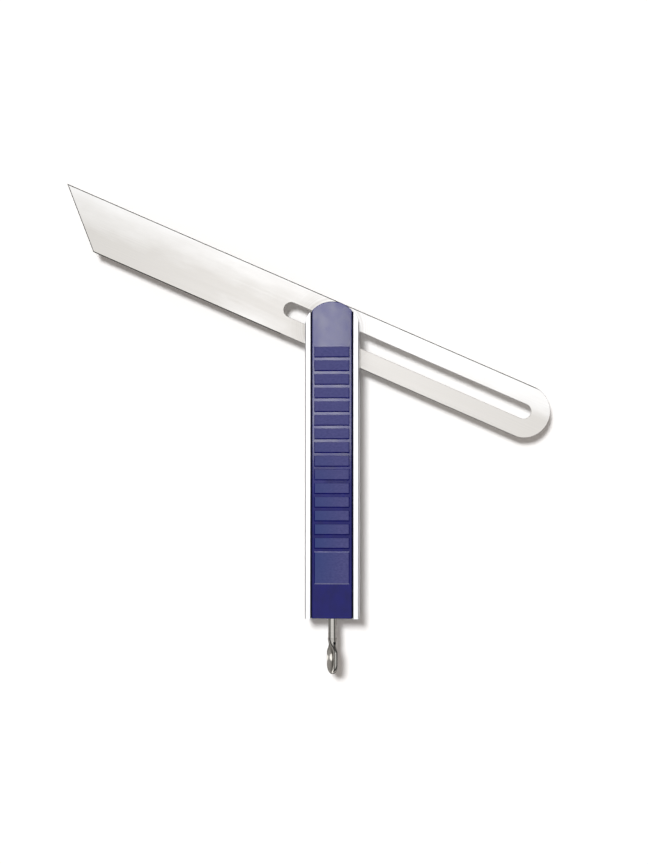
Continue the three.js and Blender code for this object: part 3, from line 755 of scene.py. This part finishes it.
# %% Grip sizes
FLANGE_HALF = 10.6 * MM
RAISED_HALF = 9.25 * MM
GRIP_END_RADIUS = 12.45 * MM
GRIP_LOW_END = butt + 0.2 * MM
FLANGE_PLAY = 0.05 * MM
FLANGE_LOW = channel_floor + FLANGE_PLAY
FLANGE_HIGH = thickness - LIP - FLANGE_PLAY
TROUGH_HALF = 6.0 * MM
TROUGH_TOP = thickness - 1.5 * MM
TILE_HALF = 8.2 * MM
TILE_FIRST = -9.45 * MM
TILE_PITCH = 6.35 * MM
TILE_LENGTH = 5.1 * MM
TILE_COUNT = 15
TILE_RISE = 0.4 * MM
TILE_DRAFT = 0.3 * MM
TILE_FOOT_DRAFT = 0.5 * MM
TILE_BREAK = 0.06 * MM
PLATE_TOP = -104.7 * MM
PLATE_LENGTH = 15.2 * MM
PLATE_LEAN = 0.4 * MM
PLATE_SLOPE = 0.3
GRIP_BREAK = 0.25 * MM

tile_tops = [TILE_FIRST - TILE_PITCH * i for i in range(TILE_COUNT)]
tile_spans = [(top - TILE_LENGTH, top) for top in tile_tops] + [(PLATE_TOP - PLATE_LENGTH, PLATE_TOP)]
print("tiles:", len(tile_spans), "last ends at, mm:", round(tile_spans[-1][0] / MM, 1))


# %% Grip body
def grip_body():
    """A domed bar, with a shoulder cut down each side to leave a flange, and a trough under it."""
    wide = FLANGE_HALF + OVERRUN
    along = (butt - OVERRUN, dome_top + OVERRUN)
    above = (FLANGE_HIGH, thickness + OVERRUN)
    cuts = [
        box_tool((-TROUGH_HALF, TROUGH_HALF), (butt - OVERRUN, CAVITY_NOSE), (0, TROUGH_TOP)),
        box_tool((RAISED_HALF, wide), along, above),
        box_tool((-wide, -RAISED_HALF), along, above),
    ]
    moulding = domed_prism(FLANGE_HALF, GRIP_END_RADIUS, GRIP_LOW_END, FLANGE_LOW, thickness)
    return machined(moulding, [("DIFFERENCE", tool) for tool in cuts])


front_body = grip_body()
print("grip body:", len(front_body.faces), "faces")


# %% Tiles
def on_face(bm):
    """The faces at the level of the grip's plain face."""
    return [f for f in bm.faces
            if f.normal.z > FLAT and abs(f.calc_center_median().z - thickness) < WELD]


def cut_across(bm, place, direction):
    """Splits the plain face along a straight line."""
    faces = on_face(bm)
    geometry = {*faces, *(e for f in faces for e in f.edges), *(v for f in faces for v in f.verts)}
    bmesh.ops.bisect_plane(bm, geom=list(geometry), dist=WELD, plane_co=place, plane_no=direction)


def raise_tiles(bm):
    """Cuts the tiles' outlines into the plain face, and lifts them with sloping sides."""
    break_edges(bm, list({e for f in on_face(bm) for e in f.edges}), GRIP_BREAK)
    for side in (-TILE_HALF, TILE_HALF):
        cut_across(bm, (side, 0, thickness), (1, 0, 0))
    for span in tile_spans:
        for y in span:
            cut_across(bm, (0, y, thickness), (0, 1, 0))
    tiles = [f for f in on_face(bm) if abs(f.calc_center_median().x) < TILE_HALF
             and any(low < f.calc_center_median().y < high for low, high in tile_spans)]
    tops = bmesh.ops.extrude_discrete_faces(bm, faces=tiles)["faces"]
    for top in tops:
        middle = top.calc_center_median()
        head_lean = PLATE_LEAN if middle.y < PLATE_TOP else TILE_BREAK
        for v in top.verts:
            inward = -math.copysign(TILE_DRAFT, v.co.x)
            v.co += Vector((inward, TILE_FOOT_DRAFT if v.co.y < middle.y else -head_lean, TILE_RISE))
    break_edges(bm, [e for f in tops for e in f.edges], TILE_BREAK)
    print("tiles raised:", len(tops))


raise_tiles(front_body)


# %% Grip finishes by place
POLISHED, FROSTED, SHADED, PAINTED_HIGHLIGHT = range(4)


def sort_grip_faces(bm):
    """Marks tile tops, the flange's painted shade and the painted highlight on the plate's ends."""
    for face in bm.faces:
        face.material_index = POLISHED
        centre = face.calc_center_median()
        sloping = abs(face.normal.y) > PLATE_SLOPE and centre.y < PLATE_TOP + WELD
        if centre.z > thickness + TILE_RISE - WELD:
            face.material_index = FROSTED
        # The flange deep in its groove is painted near black as painted shade.
        elif abs(centre.x) > RAISED_HALF - WELD and centre.z < thickness - GRIP_BREAK:
            face.material_index = SHADED
        # The plate's sloping ends get a paler navy as a painted highlight.
        elif centre.z > thickness + WELD and sloping:
            face.material_index = PAINTED_HIGHLIGHT


sort_grip_faces(front_body)
print("frosted faces:", sum(f.material_index == FROSTED for f in front_body.faces))


# %% Grips
def grip(side, bm):
    """The front moulding as it is, or turned over for the rear."""
    if side == "rear":
        turn_over = Matrix.Translation((0, 0, thickness)) @ Matrix.Rotation(math.pi, 4, "Y")
        bmesh.ops.transform(bm, matrix=turn_over, verts=bm.verts)
    return make_piece(f"{side}_grip", bm, "handle", [f"{side}_grip_insert"])


rear_body = front_body.copy()
grips = [grip("front", front_body), grip("rear", rear_body)]

# %% [markdown]
# The lock rod is turned from steel bar: its profile is a chain of points, spun once round the rod's
# axis. It could be a stack of cylinders, but one chain leaves no faces inside the bar, and each
# corner of it is a shoulder the lathe would cut. Only the stem between butt and key shows.

# %% Lock rod
ROD_RADIUS = 1.9 * MM
THREAD_RADIUS = 2.0 * MM
SPIGOT_RADIUS = 0.8 * MM
SPIGOT = 3.0 * MM
JOURNAL_RADIUS = 1.2 * MM
GROOVE_RADIUS = 0.9 * MM
THREAD_END = -119.7 * MM
SHOULDER = -12.7 * MM
GROOVE = (-8.8 * MM, -9.0 * MM)
key_end, key_root = (corner.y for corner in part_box("thumb_key"))
journal_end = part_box("lock_rod")[1].y


def turned_bar(profile):
    """A chain of (radius, Y) points spun round the rod's axis."""
    bm = bmesh.new()
    chain = [bm.verts.new((radius, y, rod_axis)) for radius, y in profile]
    edges = [bm.edges.new(pair) for pair in zip(chain, chain[1:])]
    bmesh.ops.spin(bm, geom=chain + edges, cent=(0, 0, rod_axis), axis=(0, 1, 0), angle=math.tau,
                   steps=ROUND_STEPS, use_merge=True)
    face_outward(bm)
    return bm


rod = turned_bar([
    (0, key_root - SPIGOT), (SPIGOT_RADIUS, key_root - SPIGOT), (SPIGOT_RADIUS, key_root),
    (ROD_RADIUS, key_root), (ROD_RADIUS, butt), (THREAD_RADIUS, butt),
    (THREAD_RADIUS, THREAD_END), (ROD_RADIUS, THREAD_END),
    (ROD_RADIUS, SHOULDER), (JOURNAL_RADIUS, SHOULDER), (JOURNAL_RADIUS, GROOVE[1]),
    (GROOVE_RADIUS, GROOVE[1]), (GROOVE_RADIUS, GROOVE[0]), (JOURNAL_RADIUS, GROOVE[0]),
    (JOURNAL_RADIUS, journal_end), (0, journal_end),
])
lock_rod_bar = make_piece("lock_rod_bar", rod, "lock_screw", ["lock_rod"])

# %% [markdown]
# The key is forged: a round root pressed out into a flat thumb paddle with a round end, and a dish
# pressed into each face. The bar is a loft, one ring of points after another, going from round to
# nearly rectangular. The dish is pressed in as the rings are laid, with a soft rim as plating
# leaves it, because a boolean cut would leave long thin faces that a mirror finish shows up.

# %% Key sizes
KEY_ROOT_RADIUS = 2.05 * MM
KEY_HALF_WIDTH = 4.6 * MM
KEY_HALF_THICKNESS = 1.1 * MM
KEY_TURN = math.radians(-62)
ROUND_SECTION = 2.0
SQUARED_SECTION = 4.0
KEY_NECK = 0.12
KEY_SHOULDER = 0.42
KEY_FLATTENED = 0.02
KEY_THINNED = 0.3
TIP_BLUNTNESS = 6
TIP_ROUNDING = 0.4
KEY_RINGS = 96
KEY_SIDES = 112
DISH_HALF = 3.5 * MM
DISH_REACH = 6.0 * MM
DISH_FROM_END = 6.9 * MM
DISH_DEPTH = 0.6 * MM
DISH_STEEPNESS = 2
DISH_SOFTNESS = 0.15
DISH_RIM = 0.5
key_length = key_root - key_end
dish_place = key_end + DISH_FROM_END

print("key, mm:", [round(v / MM, 2) for v in (key_length, 2 * KEY_HALF_WIDTH, 2 * KEY_HALF_THICKNESS)])


# %% Key section
def key_section(y):
    """Half width, half thickness and squareness of the bar at a place along it."""
    share = (key_root - y) / key_length
    widened = eased(share, KEY_NECK, KEY_SHOULDER)
    thinned = eased(share, KEY_FLATTENED, KEY_THINNED)
    width = blended(KEY_ROOT_RADIUS, KEY_HALF_WIDTH, widened)
    thick = blended(KEY_ROOT_RADIUS, KEY_HALF_THICKNESS, thinned)
    squareness = blended(ROUND_SECTION, SQUARED_SECTION, widened)
    over = max((key_end + KEY_HALF_WIDTH - y) / KEY_HALF_WIDTH, 0)
    width *= math.sqrt(max(1 - over ** 2, 0))
    thick *= max(1 - over ** TIP_BLUNTNESS, 0) ** TIP_ROUNDING
    return width, thick, squareness


def dish_depth(x, y):
    """How deep the thumb dish is under a point of the paddle's face."""
    inside = 1 - math.hypot(x / DISH_HALF, (y - dish_place) / DISH_REACH) ** DISH_STEEPNESS
    return DISH_DEPTH * (inside + math.hypot(inside, DISH_SOFTNESS)) / 2


print("dish depth in its middle, mm:", round(dish_depth(0, dish_place) / MM, 2))


# %% Key solid
def key_ring(bm, y):
    """One ring of points round the bar, pressed in where the dish is."""
    width, thick, squareness = key_section(y)
    points = []
    for side in range(KEY_SIDES):
        angle = math.tau * side / KEY_SIDES
        x = width * math.cos(angle)
        edge = 1 - abs(math.cos(angle)) ** squareness
        z = max(thick * edge ** (1 / squareness) - dish_depth(x, y) * eased(edge, 0, DISH_RIM), 0)
        points.append((x, y, math.copysign(z, math.sin(angle))))
    return closed_loop(bm, points)


def key_bar():
    """Rings bridged from the root to the tip, where they crowd together along a quarter circle."""
    bm = bmesh.new()
    tip_start = key_end + KEY_HALF_WIDTH
    tip_rings = round(KEY_RINGS * KEY_HALF_WIDTH / key_length)
    body_rings = KEY_RINGS - tip_rings
    quarter = [math.pi / 2 * i / tip_rings for i in range(tip_rings + 1)]
    places = [blended(key_root, tip_start, i / body_rings) for i in range(body_rings)]
    places += [tip_start - KEY_HALF_WIDTH * math.sin(angle) for angle in quarter]
    rings = [key_ring(bm, y) for y in places]
    for first, second in zip(rings, rings[1:]):
        bmesh.ops.bridge_loops(bm, edges=first + second)
    bmesh.ops.contextual_create(bm, geom=rings[0])
    face_outward(bm)
    turn = Matrix.Translation((0, 0, rod_axis)) @ Matrix.Rotation(KEY_TURN, 4, "Y")
    bmesh.ops.transform(bm, matrix=turn, verts=bm.verts)
    return bm


thumb_paddle = make_piece("thumb_paddle", key_bar(), "lock_screw", ["thumb_key"])

# %% [markdown]
# A finish is more than a colour. Under each one lies a grain, the trace its last tool left: grinding
# lines, die lines, turning rings, the frost of a moulding tool. One recipe draws them all. It takes
# cloudy noise, stretches it to the grain's real size along each axis, and lets it sway the tone, the
# roughness and the height of the surface a little. An image texture could do it too, but this needs
# no unwrapping, and the grain stays with the piece when a joint moves.

# %% Finish recipe
# The noise seldom leaves this span, which is then stretched to the full one.
NOISE_SPAN = (0.3, 0.7)
HAIR = 0.001 * MM


def grained(tree, sizes, turn=0.0, detail=3.0):
    """Noise whose features have these sizes along X, Y and Z, turned about Z."""
    place = add_node(tree, "TexCoord").outputs["Object"]
    scaled = add_node(tree, "Mapping", {"vector_type": "TEXTURE"},
                      {"Vector": place, "Rotation": (0, 0, turn), "Scale": sizes}).outputs[0]
    return add_node(tree, "TexNoise", None,
                    {"Vector": scaled, "Scale": 1.0, "Detail": detail}).outputs["Fac"]


def spread(grain, low, high):
    """A Map Range node's inputs that spread the grain between two values."""
    return {"Value": grain, "From Min": NOISE_SPAN[0], "From Max": NOISE_SPAN[1],
            "To Min": low, "To Max": high}


def between(share, dark, pale):
    """A Mix node's inputs for a tone between two hex colours: its share is 0, its colours 6 and 7."""
    return {0: share, 6: linear(dark), 7: linear(pale)}


def toned(tree, grain, dark, pale):
    """A tone that the grain sways between two hex colours."""
    share = add_node(tree, "MapRange", None, spread(grain, 0, 1)).outputs[0]
    return add_node(tree, "Mix", {"data_type": "RGBA"}, between(share, dark, pale)).outputs[2]


def surfaced(tree, shader, grain, roughness, depth):
    """Lets the grain set the roughness and the relief."""
    rough = add_node(tree, "MapRange", None, spread(grain, *roughness))
    bump = add_node(tree, "Bump", None, {"Height": grain, "Distance": depth})
    tree.links.new(rough.outputs[0], shader.inputs["Roughness"])
    tree.links.new(bump.outputs[0], shader.inputs["Normal"])


print("finest relief, mm:", HAIR / MM)


# %% Plain finish
def finish(name, tones, sizes, roughness, depth, **constants):
    """A material whose grain sways its tone, roughness and height."""
    material, tree, shader = new_material(name, **constants)
    grain = grained(tree, sizes)
    tree.links.new(toned(tree, grain, *tones), shader.inputs["Base Color"])
    surfaced(tree, shader, grain, roughness, depth)
    return material


print("materials before the first finish:", len(bpy.data.materials))

# %% [markdown]
# The blade is stainless strip, ground to a satin along its length. Satin steel is a blurred mirror,
# so it needs a high metallic value and a middling roughness: rougher would look like grey paint,
# smoother like chrome. Its tone pales from a warm light grey at its lower edge to white at the upper
# one, with soft clouds between, where the grinding belt bore harder. The paling is a painted sheen,
# the reflection of the overhead light painted into the colour. So the tone follows the distance
# across the blade, and a cloudy noise makes that distance waver. The painted sheen is stronger along
# the slotted leg's upper half and in a paler patch at the lower edge. Faint arcs round the pivot
# are where the handle has rubbed as it swung.

# %% Blade finish sizes
# The painted sheen runs from grey to white over these distances, stronger on the slotted leg.
SHEEN_FROM = 1.5 * MM
SHEEN_TO = 18.5 * MM
CLOUD = (14 * MM, 5 * MM, 14 * MM)
CLOUD_DETAIL = 6.0
CLOUD_SWAY = 2.6 * MM
LEG_SHEEN = 15 * MM
LEG_SHEEN_FADE = 5.5 * MM
LENGTHWISE_FALL = 0.05
# Real grinding lines lie some 0.05 mm apart, and marks on a torn edge 0.1 mm. Both are drawn
# coarser, so that the render shows them.
GRIND_LINE = (40 * MM, 0.5 * MM, 40 * MM)
TORN_MARK = (0.3 * MM, 0.3 * MM, 2 * MM)
# A paler patch near the lower edge, added to the painted sheen.
PALE_PATCH = (-38 * MM, -12.5 * MM, 0)
PALE_PATCH_SIZE = (34 * MM, 10 * MM, 1.0)
PALE_PATCH_LIFT = 24 * MM
ARC_SPACING = 0.9 * MM
ARC_REACH = (24 * MM, 14 * MM)
ARC_TONE = "f0efed"

print("grinding lines drawn wide, mm:", round(GRIND_LINE[1] / MM, 2))


# %% Painted sheen and rub marks of the blade
def blade_axes(tree):
    """Object coordinates turned to run along and across the blade."""
    place = add_node(tree, "TexCoord").outputs["Object"]
    return add_node(tree, "Mapping", {"vector_type": "TEXTURE"},
                    {"Vector": place, "Rotation": (0, 0, blade_turn)}).outputs[0]


def painted_sheen(tree, own, sway):
    """The painted sheen of the ground face, from 0 at its lower edge to 1 at its upper one."""
    axes = add_node(tree, "SeparateXYZ", None, {"Vector": own})
    # The painted sheen is stronger along the slotted leg's upper half, beyond the pivot.
    beyond = add_node(tree, "MapRange", {"interpolation_type": "SMOOTHSTEP"},
                      {"Value": axes.outputs["X"], "From Min": -blade_half, "From Max": blade_half})
    upper = add_node(tree, "MapRange", None,
                     {"Value": axes.outputs["Y"], "From Min": -LEG_SHEEN_FADE, "From Max": SLOT_RADIUS,
                      "To Min": 0.0, "To Max": LEG_SHEEN})
    # The paler patch near the lower edge raises the painted sheen there.
    patch = add_node(tree, "Mapping", {"vector_type": "TEXTURE"},
                     {"Vector": own, "Location": PALE_PATCH, "Scale": PALE_PATCH_SIZE})
    pale_patch_and_arcs = add_node(tree, "TexGradient", {"gradient_type": "SPHERICAL"},
                      {"Vector": patch.outputs[0]})
    level = axes.outputs["Y"]
    for part, gain in ((axes.outputs["X"], -LENGTHWISE_FALL), (beyond.outputs[0], upper.outputs[0]),
                       (pale_patch_and_arcs.outputs["Fac"], PALE_PATCH_LIFT), (sway, 1.0)):
        level = add_node(tree, "Math", {"operation": "MULTIPLY_ADD"},
                         {0: part, 1: gain, 2: level}).outputs[0]
    return add_node(tree, "MapRange", None,
                    {"Value": level, "From Min": SHEEN_FROM, "From Max": SHEEN_TO}).outputs[0]


def rub_arcs(tree):
    """How strongly an arc shows: rings of uneven width round the pivot, dying out away from it."""
    place = add_node(tree, "TexCoord").outputs["Object"]
    flat = add_node(tree, "Mapping", None, {"Vector": place, "Scale": (1, 1, 0)}).outputs[0]
    radius = add_node(tree, "VectorMath", {"operation": "LENGTH"}, {0: flat}).outputs["Value"]
    rings = add_node(tree, "Math", {"operation": "DIVIDE"}, {0: radius, 1: ARC_SPACING})
    uneven = add_node(tree, "TexNoise", {"noise_dimensions": "1D"},
                      {"W": rings.outputs[0], "Scale": 1.0}).outputs["Fac"]
    shown = add_node(tree, "MapRange", None, spread(uneven, 0, 1)).outputs[0]
    near = add_node(tree, "MapRange", {"interpolation_type": "SMOOTHSTEP"},
                    {"Value": radius, "From Min": ARC_REACH[0], "From Max": ARC_REACH[1]}).outputs[0]
    return add_node(tree, "Math", {"operation": "MULTIPLY"}, {0: shown, 1: near}).outputs[0]


print("arcs die out from the pivot at, mm:", [round(v / MM) for v in ARC_REACH])


# %% Blade finishes
def ground_steel():
    """Warm satin: cloudy, a painted sheen paler towards the upper edge, fine lengthwise lines."""
    material, tree, shader = new_material("satin_ground_stainless", Metallic=1.0)
    clouds = grained(tree, CLOUD, blade_turn, CLOUD_DETAIL)
    sway = add_node(tree, "MapRange", None, spread(clouds, -CLOUD_SWAY, CLOUD_SWAY))
    pale = painted_sheen(tree, blade_axes(tree), sway.outputs[0])
    # Painted sheen: the tone goes from warm grey to white as the sheen level rises.
    tone = add_node(tree, "Mix", {"data_type": "RGBA"}, between(pale, "d5d2cd", "f1f0ee"))
    lines = grained(tree, GRIND_LINE, blade_turn)
    lined = add_node(tree, "Mix", {"data_type": "RGBA", "blend_type": "MULTIPLY"},
                     {0: 1.0, 6: tone.outputs[2], 7: toned(tree, lines, "f8f8f8", "ffffff")})
    pale_patch_and_arcs = add_node(tree, "Mix", {"data_type": "RGBA", "blend_type": "MULTIPLY"},
                      {0: rub_arcs(tree), 6: lined.outputs[2], 7: linear(ARC_TONE)})
    tree.links.new(pale_patch_and_arcs.outputs[2], shader.inputs["Base Color"])
    surfaced(tree, shader, lines, (0.39, 0.45), HAIR * 0.3)
    return material


def blanked_edge_painted_shade():
    """Torn, with fine upright marks, and painted dark: a painted shade line round the pale face."""
    return finish("blanked_stainless_edge_painted_shade", ("4a4947", "5b5a57"), TORN_MARK, (0.4, 0.5), HAIR,
                  Metallic=1.0)


dress(blade_strip, ground_steel(), blanked_edge_painted_shade())

# %% [markdown]
# The handle is drawn aluminium, bead-blasted lightly and clear anodised. That leaves an even white
# satin with faint lines along its length, where the die's edge dragged. Left mill-bright, it would
# mirror the strip light as a streak, and the photograph has none. The grain is stretched along Y,
# the way the bar came out of the die.

# %% Handle finish
# Real die lines are some 0.05 mm wide. These are as wide as a pixel needs.
DIE_LINE = (0.5 * MM, 60 * MM, 0.5 * MM)


def anodised_aluminium():
    """An even, silky white that keeps its edges soft."""
    return finish("satin_anodised_aluminium", ("e7e7e9", "f0f0f1"), DIE_LINE, (0.28, 0.34),
                  HAIR * 0.3, Metallic=1.0)


dress(handle_extrusion, anodised_aluminium())

# %% [markdown]
# Each grip is one polypropylene moulding in deep navy with three looks, because the mould had three
# surfaces. The field was polished, so it mirrors the strip light and turns lavender near the pivot,
# with a slight ripple where the plastic shrank. The tile tops were spark-eroded, and that frost
# scatters light, so they look paler and dusty, a little cloudy from handling, and a deeper blue on
# the left towards the butt. The flange, deep between rail and body, is painted near black as painted
# shade. The long plate's two ends slope a little and get a paler navy, a painted highlight that
# draws them as fine pale lines.

# %% Grip finishes
POLYPROPYLENE = 1.49
SINK_RIPPLE = (5 * MM, 7 * MM, 5 * MM)
# Real spark frost is some 0.02 mm across. It is drawn as the clouds that handling leaves in it.
SPARK_FROST = (1.3 * MM, 0.8 * MM, 1.3 * MM)
# Where the tiles turn a darker, deeper blue, on the left towards the butt.
DARKER_BLUE_PATCH = (-9 * MM, -100 * MM, 0)
DARKER_BLUE_SIZE = (14 * MM, 60 * MM, 1.0)


def polished_plastic():
    """A deep, wet navy that shows what is above it."""
    return finish("polished_navy_polypropylene", ("040455", "070765"), SINK_RIPPLE, (0.09, 0.13),
                  HAIR * 0.7, IOR=POLYPROPYLENE, Specular_IOR_Level=0.32)


def frosted_plastic():
    """A dusty, paler navy without any mirror image, deeper blue on the left towards the butt."""
    material, tree, shader = new_material("frosted_navy_polypropylene", IOR=POLYPROPYLENE,
                                          Specular_IOR_Level=0.45)
    grain = grained(tree, SPARK_FROST)
    place = add_node(tree, "TexCoord").outputs["Object"]
    patch = add_node(tree, "Mapping", {"vector_type": "TEXTURE"},
                     {"Vector": place, "Location": DARKER_BLUE_PATCH, "Scale": DARKER_BLUE_SIZE})
    darker_blue = add_node(tree, "TexGradient", {"gradient_type": "SPHERICAL"},
                    {"Vector": patch.outputs[0]}).outputs["Fac"]
    tone = add_node(tree, "Mix", {"data_type": "RGBA"},
                    {0: darker_blue, 6: toned(tree, grain, "303267", "454678"), 7: linear("22336a")})
    tree.links.new(tone.outputs[2], shader.inputs["Base Color"])
    surfaced(tree, shader, grain, (0.46, 0.54), HAIR * 3)
    return material


def shaded_plastic():
    """Painted shade: the flange deep between body and rail, painted near black."""
    return finish("shaded_navy_polypropylene", ("0a0a1e", "0e0e26"), SPARK_FROST, (0.75, 0.85),
                  HAIR * 3, IOR=POLYPROPYLENE)


def painted_highlight_plastic():
    """A paler navy on the plate's sloping ends, a painted highlight."""
    return finish("painted_highlight_navy_polypropylene", ("6e7199", "8285ab"), SPARK_FROST, (0.4, 0.5),
                  HAIR * 2, IOR=POLYPROPYLENE)


grip_finishes = [polished_plastic(), frosted_plastic(), shaded_plastic(), painted_highlight_plastic()]
for piece in grips:
    dress(piece, *grip_finishes)

# %% [markdown]
# Key and rod are nickel plated over steel. Plating follows the metal under it, so the key keeps the
# soft ripple of its forging, and the rod keeps fine rings from the lathe. Nickel is a little darker
# and warmer than chrome, and nearly a mirror: most of what it shows is the dark below the tent's
# edge, and that gives it black rims and a bright middle.

# %% Key and rod finishes
FORGED_RIPPLE = (1.6 * MM, 2.4 * MM, 1.6 * MM)
# Real lathe rings are some 0.05 mm apart. These are coarser, so that they show.
LATHE_RING = (6 * MM, 0.4 * MM, 6 * MM)
NICKEL_RIM = "505050"


def nickel_plate():
    """A warm grey near-mirror that ripples softly and darkens at its rims."""
    return finish("nickel_plated_forging", ("a5a29d", "b3b0ab"), FORGED_RIPPLE, (0.1, 0.16),
                  HAIR * 2, Metallic=1.0, Specular_Tint=linear(NICKEL_RIM))


def plated_bar():
    """The same metal on turned bar: one clean bright streak between dark sides."""
    return finish("nickel_plated_turned_bar", ("b6b3ae", "c2bfba"), LATHE_RING, (0.14, 0.2),
                  HAIR * 0.3, Metallic=1.0, Specular_Tint=linear(NICKEL_RIM))


dress(lock_rod_bar, plated_bar())
dress(thumb_paddle, nickel_plate())

# %% [markdown]
# The small hardware comes over from the model unchanged, since its shapes are plain and mostly
# hidden, and only its finish is added here. Each kind of part gets what a workshop would give it:
# oil-blacked fasteners, springs blued by tempering, ground dowels, slippery white washers, a bronze
# thrust washer, and zinc on the bush, whose end can be seen round the rod.

# %% Hardware finishes
# Real grit and pores are a few hundredths of a millimetre. FINE and GROUND_ROUND are coarser.
FINE = (0.4 * MM, 0.4 * MM, 0.4 * MM)
GROUND_ROUND = (0.3 * MM, 0.3 * MM, 3 * MM)
MOTTLED = (1.2 * MM, 1.2 * MM, 1.2 * MM)
ACETAL = 1.48


def white_acetal():
    """A waxy off-white, turned from rod."""
    return finish("turned_white_acetal", ("e2e1da", "ecebe4"), MOTTLED, (0.4, 0.5), HAIR, IOR=ACETAL)


# Name, two tones, grain, roughness, relief, and the nodes that wear it.
HARDWARE_METALS = [
    # A soft black with a brown-grey sheen, not paint.
    ("oil_blacked_steel", ("17181a", "232528"), FINE, (0.35, 0.5), HAIR,
     ["pivot_pin", "pin_nut", "rod_clip", "key_pin"]),
    # Blue clouding into straw, as heat leaves it.
    ("tempered_spring_steel", ("4d5361", "6f675d"), MOTTLED, (0.28, 0.38), HAIR, ["disc_spring"]),
    # A plain mid grey, evenly ground.
    ("hardened_ground_steel", ("8b8a88", "9c9b98"), FINE, (0.25, 0.35), HAIR,
     ["seat_plate", "ramp_collar", "wedge_fork"]),
    # Bright, with fine marks along the pin.
    ("ground_dowel_steel", ("a9a8a5", "bab9b6"), GROUND_ROUND, (0.18, 0.26), HAIR * 0.3,
     ["bush_dowel", "front_insert_peg", "rear_insert_peg"]),
    # A grainy brown gold, dull with oil.
    ("sintered_bronze", ("7c6038", "97774a"), FINE, (0.4, 0.55), HAIR * 4, ["thrust_washer"]),
    # A cool grey with a faint bloom.
    ("zinc_plated_steel", ("6f7174", "808285"), MOTTLED, (0.3, 0.45), HAIR, ["threaded_bush"]),
]
worn_by = [(finish(*recipe, Metallic=1.0), nodes) for *recipe, nodes in HARDWARE_METALS]
worn_by.append((white_acetal(), ["front_friction_washer", "rear_friction_washer"]))
for material, nodes in worn_by:
    for node in nodes:
        dress(frame["nodes"][node], material)
